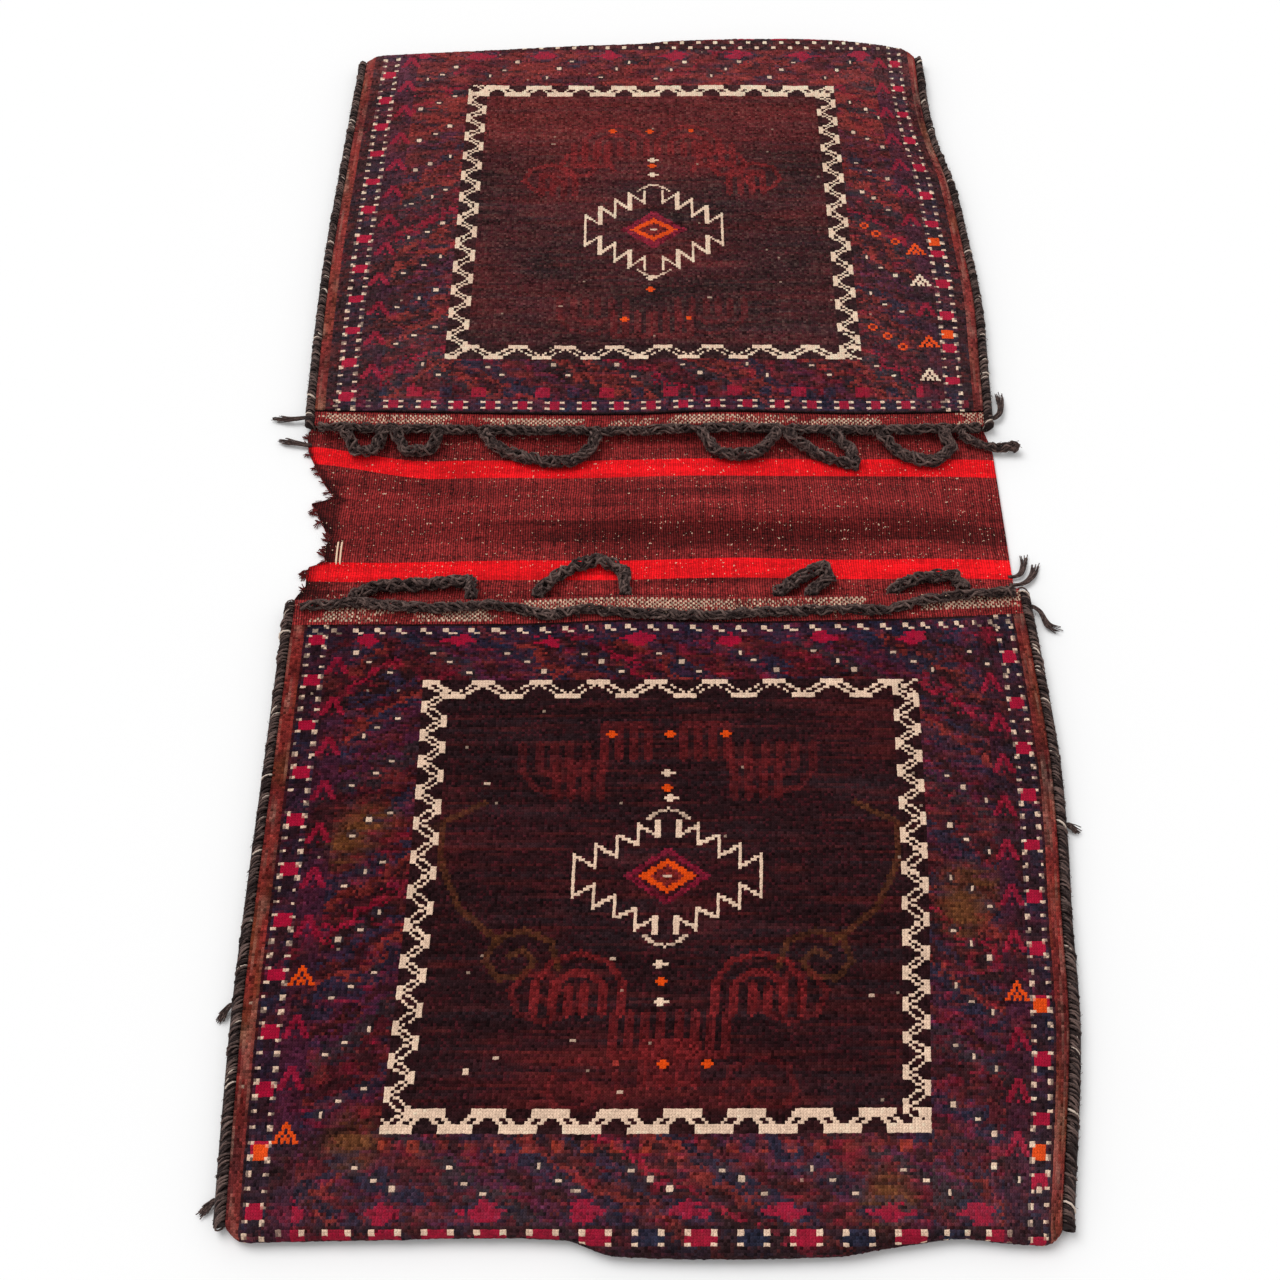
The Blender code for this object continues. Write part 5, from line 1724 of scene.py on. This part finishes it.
def twisted_cord_tree():
    """Strands twisted round each other along a path, uneven and hairy."""
    tree, given = new_tree("twisted_cord_tree", {
        "Strands": "Int", "Strand": "Float", "Wind": "Float", "Pitch": "Float",
        "Hairs": "Float", "Hair": "Float", "Seed": "Int",
    })
    curve = resampled(tree, path_curve(tree, given), 0.0023)
    strands, number = copies(tree, curve, given["Strands"])
    length = node(tree, "GeometryNodeSplineParameter", output="Length")
    apart = node(tree, "GeometryNodeInputPosition") + scaled(tree, (0.37, 0.11, 0.23), number)
    fine, tangle = noise(tree, apart, 230.0), noise(tree, apart, 230.0, output=1)
    lumps, slack = noise(tree, apart, 85.0, 1.0), noise(tree, apart, 48.0, 1.0)
    turns = length / given["Pitch"] + number / given["Strands"]
    hand = 1.0 - number.calc("MODULO", 5.0) * 0.37
    angle = (turns * hand + slack * 2.2) * (2.0 * math.pi)
    normal, tangent = node(tree, "GeometryNodeInputNormal"), node(tree, "GeometryNodeInputTangent")
    aside = tangent.calc("CROSS_PRODUCT", normal)
    out = normal * angle.calc("COSINE") + aside * angle.calc("SINE")
    reach = (lumps * 3.2 - 0.7).calc("MINIMUM", 1.24).calc("MAXIMUM", 0.15)
    stray = (tangle - (0.5, 0.5, 0.5)) * (given["Strand"] * 2.6)
    strands = shaped(tree, strands, out * (given["Wind"] * reach) + stray, fine + 0.5)
    body = tube(tree, strands, ring(tree, given["Strand"], 5))
    body = toned(tree, body, fine * 2.4 + lumps * 1.4 - 1.45, "POINT")
    hairs = loose_hairs(tree, body, given["Hairs"], given["Hair"], given["Seed"])
    return close_tree(tree, given, (body, hairs))


def frayed_lock_tree():
    """A lock of hairs that leave their root together and spread towards their tips."""
    tree, given = new_tree("frayed_lock_tree", {
        "Fibres": "Int", "Root": "Float", "Spread": "Float", "Thickness": "Float", "Seed": "Int",
    })
    seed, spread = given["Seed"], given["Spread"]
    feed = {"Curve": path_curve(tree, given), "Count": 16}
    curve = node(tree, "GeometryNodeResampleCurve", feed, mode="COUNT")
    hairs, number = copies(tree, curve, given["Fibres"])
    share = node(tree, "GeometryNodeSplineParameter", output="Factor")
    aside = chance(tree, (-1.0, -1.0, -0.6), (1.0, 1.0, 0.6), seed, number)
    width = given["Root"] + share * share * spread
    apart = node(tree, "GeometryNodeInputPosition") + aside * 0.05
    wave = noise(tree, apart, 110.0, 1.0, output=1) - (0.5, 0.5, 0.5)
    hairs = shaped(tree, hairs, aside * width + wave * (share * spread), 1.0 - share * 0.75)
    feed = {"Curve": hairs, "End": chance(tree, 0.55, 1.0, seed, number)}
    hairs = node(tree, "GeometryNodeTrimCurve", feed, mode="FACTOR")
    body = tube(tree, hairs, ring(tree, given["Thickness"], 4))
    body = toned(tree, body, chance(tree, 0.0, 1.0, seed), "POINT")
    return close_tree(tree, given, (body,))


def side_seam(pocket, hand):
    """The overcast seam along one side of a pocket."""
    hair = settings("hair")
    shares = np.linspace(0.004, 1.008, 90)
    middle = face_place(pocket, float(hand), shares, 0.0)
    tall = pocket_height(1.0, shares) / 2.0
    middle[:, 0] += hand * (SEAM_WIDTH / 2.0 - SEAM_BITE)
    middle[:, 2] = tall
    side = "left" if hand < 0 else "right"
    name = f"seam_{pocket['name']}_{side}"
    sizes = {
        "Pitch": hair.wrap_pitch, "Half Width": SEAM_WIDTH / 2.0 + 0.0002, "Half Height": SEAM_HALF_HEIGHT,
        "Yarn": hair.yarn, "Slant": SEAM_LEAN * hand * pocket["side"], "Hair": 0.7 * hair.fibre,
        "Seed": 3 + hand,
    }
    piece = grow(name + "_overcast", overcast_tree, [middle], sizes, goat_hair_yarn)
    return settle(piece, name, finish="goat_hair")


def smooth_route(points, step, lowest=0.0):
    """Points about one step apart on a smooth curve through the route's points, none too low."""
    route = [Vector(point) for point in points]
    padded = [2.0 * route[0] - route[1]] + route + [2.0 * route[-1] - route[-2]]
    line = []
    for index in range(1, len(padded) - 2):
        before, start, end, after = padded[index - 1 : index + 3]
        pieces = max(1, math.ceil((end - start).length / step))
        for piece in range(pieces):
            u = piece / pieces
            square = (2.0 * before - 5.0 * start + 4.0 * end - after) * u**2
            cube = (3.0 * start - before - 3.0 * end + after) * u**3
            line.append(0.5 * (2.0 * start + (end - before) * u + square + cube))
    line.append(route[-1])
    for place in line:
        place.z = max(place.z, lowest)
    return line


def lip_height():
    """The height of a lip's underside above the ground."""
    return BACK_THICKNESS + LIP_GAP


def twist(name, line, strands, twist_sizes, hairs, hair, seed):
    """A cord of hairy strands twisted along a line."""
    strand, wind, pitch = twist_sizes
    sizes = {
        "Strands": strands, "Strand": strand, "Wind": wind, "Pitch": pitch,
        "Hairs": hairs, "Hair": hair, "Seed": seed,
    }
    return grow(name, twisted_cord_tree, [line], sizes, goat_hair_yarn)


def mouth_cord(pocket):
    """The hair cord along a mouth: before the far lip, and snaking over the near strip."""
    radius = MOUTH_CORD / 2.0
    points = []
    if pocket["side"] > 0:
        for s in np.linspace(-MOUTH_CORD_REACH, MOUTH_CORD_REACH, MOUTH_CORD_POINTS):
            place = Vector(face_place(pocket, s, 0.0, lip_height() + CLEARANCE + radius))
            points.append(place - Vector((0.0, radius + 2.0 * CLEARANCE, 0.0)))
    else:
        for s, behind in NEAR_CORD_ROUTE:
            lip = Vector(face_place(pocket, s, 0.0, 0.0))
            height = lip_height() + STRIP_THICKNESS + 2.0 * CLEARANCE + radius
            rise = float(room(s, behind / pocket["face"])) - LIP_GAP
            points.append(Vector((lip.x, lip.y - behind, height + rise)))
    line = smooth_route(points, CORD_STEP * MOUTH_CORD)
    name = f"mouth_cord_{pocket['name']}"
    piece = twist(name + "_twist", line, 12, MOUTH_TWIST, MOUTH_HAIRS, settings("hair").fibre, seed=21)
    return settle(piece, name, finish="hair_cord")


def ends_free(turns):
    """Whether a loop's last end lies free on the bridge instead of at the lip."""
    return turns[-1][1] > 0.0


def loop_diameter(turns):
    """The thickness of a closing loop, or of a thinner tail that ends free."""
    return TAIL_CORD if ends_free(turns) else LOOP_CORD


def loop_route(pocket, turns):
    """The route of a closing loop, from its lip over the bridge and back."""
    radius = loop_diameter(turns) / 2.0
    low = BACK_THICKNESS + CLEARANCE + radius
    far = pocket["side"] > 0
    high = lip_height() + (radius if far else STRIP_THICKNESS / 2.0)
    seat = LOOP_SEAT + (MOUTH_CORD if far else 0.0)
    points = []
    for index, (x, out) in enumerate(turns):
        lip = pocket["side"] * float(lip_distance(pocket, x / HALF_WIDTH))
        sunk = min(out / LOOP_DROP, 1.0)
        height = high + (low - high) * sunk
        rooted = [Vector((x, lip - pocket["side"] * max(out, seat), height))]
        if out == 0.0:
            lead = Vector((0.0, -pocket["side"] * LOOP_LEAD, 0.0))
            rooted.insert(1 if index == 0 else 0, rooted[0] + lead)
        points += rooted
    return smooth_route(points, CORD_STEP * 2.0 * radius, low)


def closing_loop(pocket, number, turns):
    """A closing loop of thick, hairy cord that hangs from a lip."""
    line, thick = loop_route(pocket, turns), loop_diameter(turns)
    name = f"loop_{pocket['name']}_{number}"
    sizes = [share * thick for share in LOOP_TWIST]
    piece = twist(name + "_twist", line, 16, sizes, LOOP_HAIRS, LOOP_HAIR, seed=31 + number)
    settle(piece, name, finish="hair_cord")
    length = sum((end - start).length for start, end in zip(line, line[1:]))
    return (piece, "knot" if ends_free(turns) else "object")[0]


def tail_knot(pocket, number, turns):
    """The round knot that ends a free tail: cord wound about its end."""
    line, thick = loop_route(pocket, turns), loop_diameter(turns)
    outward = (line[-1] - line[-4]).normalized()
    aside = outward.cross(Vector((0.0, 0.0, 1.0))).normalized()
    middle = line[-1] + outward * KNOT_REACH * thick
    radius = KNOT_RADIUS * thick
    coil = []
    for step in range(KNOT_STEPS):
        angle = KNOT_TURN * step
        place = middle + aside * (radius * math.cos(angle)) + outward * (radius * math.sin(angle))
        coil.append(place + Vector((0.0, 0.0, radius * (step - KNOT_STEPS // 2) / 18.0)))
    sizes = [share * thick for share in KNOT_TWIST]
    name = f"loop_{pocket['name']}_{number}_knot"
    piece = twist(name, coil, 12, sizes, KNOT_HAIRS, KNOT_HAIR, seed=51)
    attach(piece, BODY)
    return piece


def seam_root(pocket, hand, wrap):
    """The outermost point of one wrap of a side seam, brought down to the ground."""
    slant = SEAM_SLANT / pocket["face"] / 2.0
    t = slant + (1.0 - 2.0 * slant) * (2 * wrap + 1) / (2 * SEAM_WRAPS)
    return Vector(face_place(pocket, float(hand), t, 0.0)) + Vector((hand * (SEAM_WIDTH + 0.0001), 0.0, 0.0))


def bridge_root(hand, share):
    """A point on the bridge's left or right edge."""
    y = FAR_POCKET["lip"] - share * (FAR_POCKET["lip"] + NEAR_POCKET["lip"])
    return Vector((float(bridge_lines(share)[0 if hand < 0 else 1]), y, 0.0))


def frayed_lock(name, root, hand, radius, turns):
    """A lock of frayed yarn that grows outwards from its root."""
    hair = settings("hair")
    route = [root + Vector((hand * (LOCK_SEAT + out), along, height)) for out, along, height in turns]
    line = smooth_route([route[0] - Vector((hand * LOCK_ROOT, 0.0, 0.0))] + route, 2.0 * radius)
    sizes = {
        "Fibres": hair.lock_fibres, "Root": 0.42 * radius, "Spread": 0.75 * radius,
        "Thickness": FIBRE_THICKNESS, "Seed": len(name),
    }
    piece = grow(name + "_hairs", frayed_lock_tree, [line], sizes, goat_hair_yarn)
    return settle(piece, name, finish="frayed_yarn")


def pale_floor():
    """A plain pale floor under the bag."""
    stage = settings("stage")
    made = bpy.data.materials.new("pale_floor")
    made.use_nodes = True
    shader = made.node_tree.nodes["Principled BSDF"]
    shader.inputs["Base Color"].default_value = (*stage.floor, 1.0)
    shader.inputs["Roughness"].default_value = 1.0
    shader.inputs["Specular IOR Level"].default_value = 0.0
    mesh = bpy.data.meshes.new("pale_floor")
    corners = [(x * FLOOR_REACH, y * FLOOR_REACH, 0.0) for x, y in ((-1, -1), (1, -1), (1, 1), (-1, 1))]
    mesh.from_pydata(corners, [], [(0, 1, 2, 3)])
    mesh.materials.append(made)
    add_object("pale_floor", mesh)


def soft_light():
    """Even light from all round and one broad soft lamp, behind and to the left."""
    stage = settings("stage")
    world = bpy.data.worlds.new("even_light")
    world.use_nodes = True
    bpy.context.scene.world = world
    tree = world.node_tree
    tree.nodes.clear()
    white = (1.0, 1.0, 1.0, 1.0)
    light = node(tree, "ShaderNodeBackground", {"Color": white, "Strength": stage.sky})
    backdrop = node(tree, "ShaderNodeBackground", {"Color": white, "Strength": 1.0})
    seen = node(tree, "ShaderNodeLightPath", output="Is Camera Ray")
    mixed = node(tree, "ShaderNodeMixShader", {0: seen, 1: light, 2: backdrop})
    add(tree, "ShaderNodeOutputWorld", {0: mixed})
    lamp = bpy.data.lights.new("soft_lamp", "SUN")
    lamp.energy = stage.lamp
    lamp.angle = stage.lamp_spread
    made = add_object("soft_lamp", lamp)
    made.location = LAMP_PLACE
    made.rotation_euler = (-made.location).to_track_quat("-Z", "Y").to_euler()


def photo_camera():
    """The camera at the photograph's view."""
    camera = bpy.data.cameras.new("photo_camera")
    camera.lens = VIEW_LENS
    camera.sensor_width = SENSOR_WIDTH
    camera.shift_x = VIEW_SHIFT
    made = add_object("photo_camera", camera)
    made.location = VIEW_PLACE
    made.rotation_euler = (math.radians(VIEW_TILT), 0.0, 0.0)
    bpy.context.scene.camera = made


def torn_edge_frays():
    """Short frayed ends of the torn left edge, and two bare warps in its deepest bite."""
    rng = np.random.default_rng(23)
    lines, warps = [], []
    for share in np.sort(rng.uniform(0.02, 0.98, FRAYS)):
        root = bridge_root(-1, share) + Vector((0.0015, 0.0, rng.uniform(0.0012, 0.003)))
        out = rng.uniform(0.004, 0.0085)
        turn = rng.uniform(-0.8, 0.8)
        middle = root + Vector((-0.5 * out, 0.3 * out * turn, 0.0006))
        lines.append([root, middle, root + Vector((-out, out * turn, rng.uniform(-0.0005, 0.0015)))])
    sizes = {"Fibres": 6, "Root": 0.0007, "Spread": 0.0018, "Thickness": FIBRE_THICKNESS, "Seed": 5}
    piece = grow("torn_edge_frays", frayed_lock_tree, lines, sizes, frayed_wool)
    settle(piece, "woven_panel", finish="woven_wool")
    for x in WARP_PLACES:
        warps.append([(x, y, WARP_HEIGHT + 0.0004 * math.sin(400.0 * y)) for y in WARP_RUN])
    sizes = {"Fibres": 3, "Root": 0.0003, "Spread": 0.0002, "Thickness": 0.0005, "Seed": 6}
    piece = grow("bare_warps", frayed_lock_tree, warps, sizes, bare_warp)
    return settle(piece, "woven_panel", finish="woven_wool")


class SADDLEBAG_OT_stage(bpy.types.Operator):
    """Set up the camera, the floor and the light"""

    bl_idname = "saddle_bag.stage"
    bl_label = "Stage"

    def execute(self, context):
        photo_camera()
        pale_floor()
        soft_light()
        context.scene.view_settings.view_transform = "Standard"
        return {"FINISHED"}


class SADDLEBAG_OT_loops(bpy.types.Operator):
    """Twist the closing loops"""

    bl_idname = "saddle_bag.loops"
    bl_label = "Closing loops"

    def execute(self, context):
        for pocket, loops in ((FAR_POCKET, FAR_LOOPS), (NEAR_POCKET, NEAR_LOOPS)):
            for index, turns in enumerate(loops):
                closing_loop(pocket, index + 1, turns)
                if ends_free(turns):
                    tail_knot(pocket, index + 1, turns)
        return {"FINISHED"}


class SADDLEBAG_OT_mouth_cords(bpy.types.Operator):
    """Twist the cords along the mouths"""

    bl_idname = "saddle_bag.mouth_cords"
    bl_label = "Mouth cords"

    def execute(self, context):
        for pocket in POCKETS:
            mouth_cord(pocket)
        return {"FINISHED"}


class SADDLEBAG_OT_knotted_faces(bpy.types.Operator):
    """Tie the knotted faces of both pockets"""

    bl_idname = "saddle_bag.knotted_faces"
    bl_label = "Knotted faces"

    def execute(self, context):
        for pocket in POCKETS:
            knotted_face(pocket)
        return {"FINISHED"}


class SADDLEBAG_OT_flat_weave(bpy.types.Operator):
    """Weave the bridge, the backs and the mouths' strips"""

    bl_idname = "saddle_bag.flat_weave"
    bl_label = "Flat weave"

    def execute(self, context):
        kilim_strip()
        for pocket in POCKETS:
            mouth_strip(pocket)
        torn_edge_frays()
        return {"FINISHED"}


class SADDLEBAG_OT_seams(bpy.types.Operator):
    """Overcast the side seams"""

    bl_idname = "saddle_bag.seams"
    bl_label = "Side seams"

    def execute(self, context):
        for pocket in POCKETS:
            for hand in (-1, 1):
                side_seam(pocket, hand)
        return {"FINISHED"}


class SADDLEBAG_OT_locks(bpy.types.Operator):
    """Grow the frayed locks"""

    bl_idname = "saddle_bag.locks"
    bl_label = "Frayed locks"

    def execute(self, context):
        for name, pocket, hand, wrap, radius, turns in SEAM_LOCKS:
            frayed_lock(name, seam_root(pocket, hand, wrap), hand, radius, turns)
        for name, hand, share, radius, turns in BRIDGE_LOCKS:
            frayed_lock(name, bridge_root(hand, share), hand, radius, turns)
        return {"FINISHED"}


class SADDLEBAG_PT_panel(bpy.types.Panel):
    """Lists the steps and the settings"""

    bl_idname = "SADDLEBAG_PT_panel"
    bl_label = "Kilim Saddle Bag"
    bl_space_type = "VIEW_3D"
    bl_region_type = "UI"
    bl_category = "Saddle Bag"

    def draw(self, context):
        for operator in OPERATORS:
            self.layout.operator(operator.bl_idname)
        for name, group in GROUPS:
            box = self.layout.box()
            box.label(text=group.bl_rna.description)
            for key in group.__annotations__:
                box.prop(settings(name), key)


OPERATORS = (
    SADDLEBAG_OT_stage, SADDLEBAG_OT_loops, SADDLEBAG_OT_mouth_cords, SADDLEBAG_OT_knotted_faces,
    SADDLEBAG_OT_flat_weave, SADDLEBAG_OT_seams, SADDLEBAG_OT_locks,
)
GROUPS = (("pile", PileSettings), ("weave", WeaveSettings), ("hair", HairSettings), ("stage", StageSettings))


def register():
    """Registers the settings, the operators and the panel."""
    for name, group in GROUPS:
        bpy.utils.register_class(group)
        setattr(bpy.types.Scene, "saddle_bag_" + name, PointerProperty(type=group))
    for item in (*OPERATORS, SADDLEBAG_PT_panel):
        bpy.utils.register_class(item)


def unregister():
    """Removes the panel, the operators and the settings."""
    for item in reversed((*OPERATORS, SADDLEBAG_PT_panel)):
        bpy.utils.unregister_class(item)
    for name, group in reversed(GROUPS):
        delattr(bpy.types.Scene, "saddle_bag_" + name)
        bpy.utils.unregister_class(group)


def main():
    """Registers the add-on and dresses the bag."""
    register()
    bpy.ops.saddle_bag.stage()
    bpy.ops.saddle_bag.loops()
    bpy.ops.saddle_bag.mouth_cords()
    bpy.ops.saddle_bag.knotted_faces()
    bpy.ops.saddle_bag.flat_weave()
    bpy.ops.saddle_bag.seams()
    bpy.ops.saddle_bag.locks()


if __name__ == "__main__":
    main()
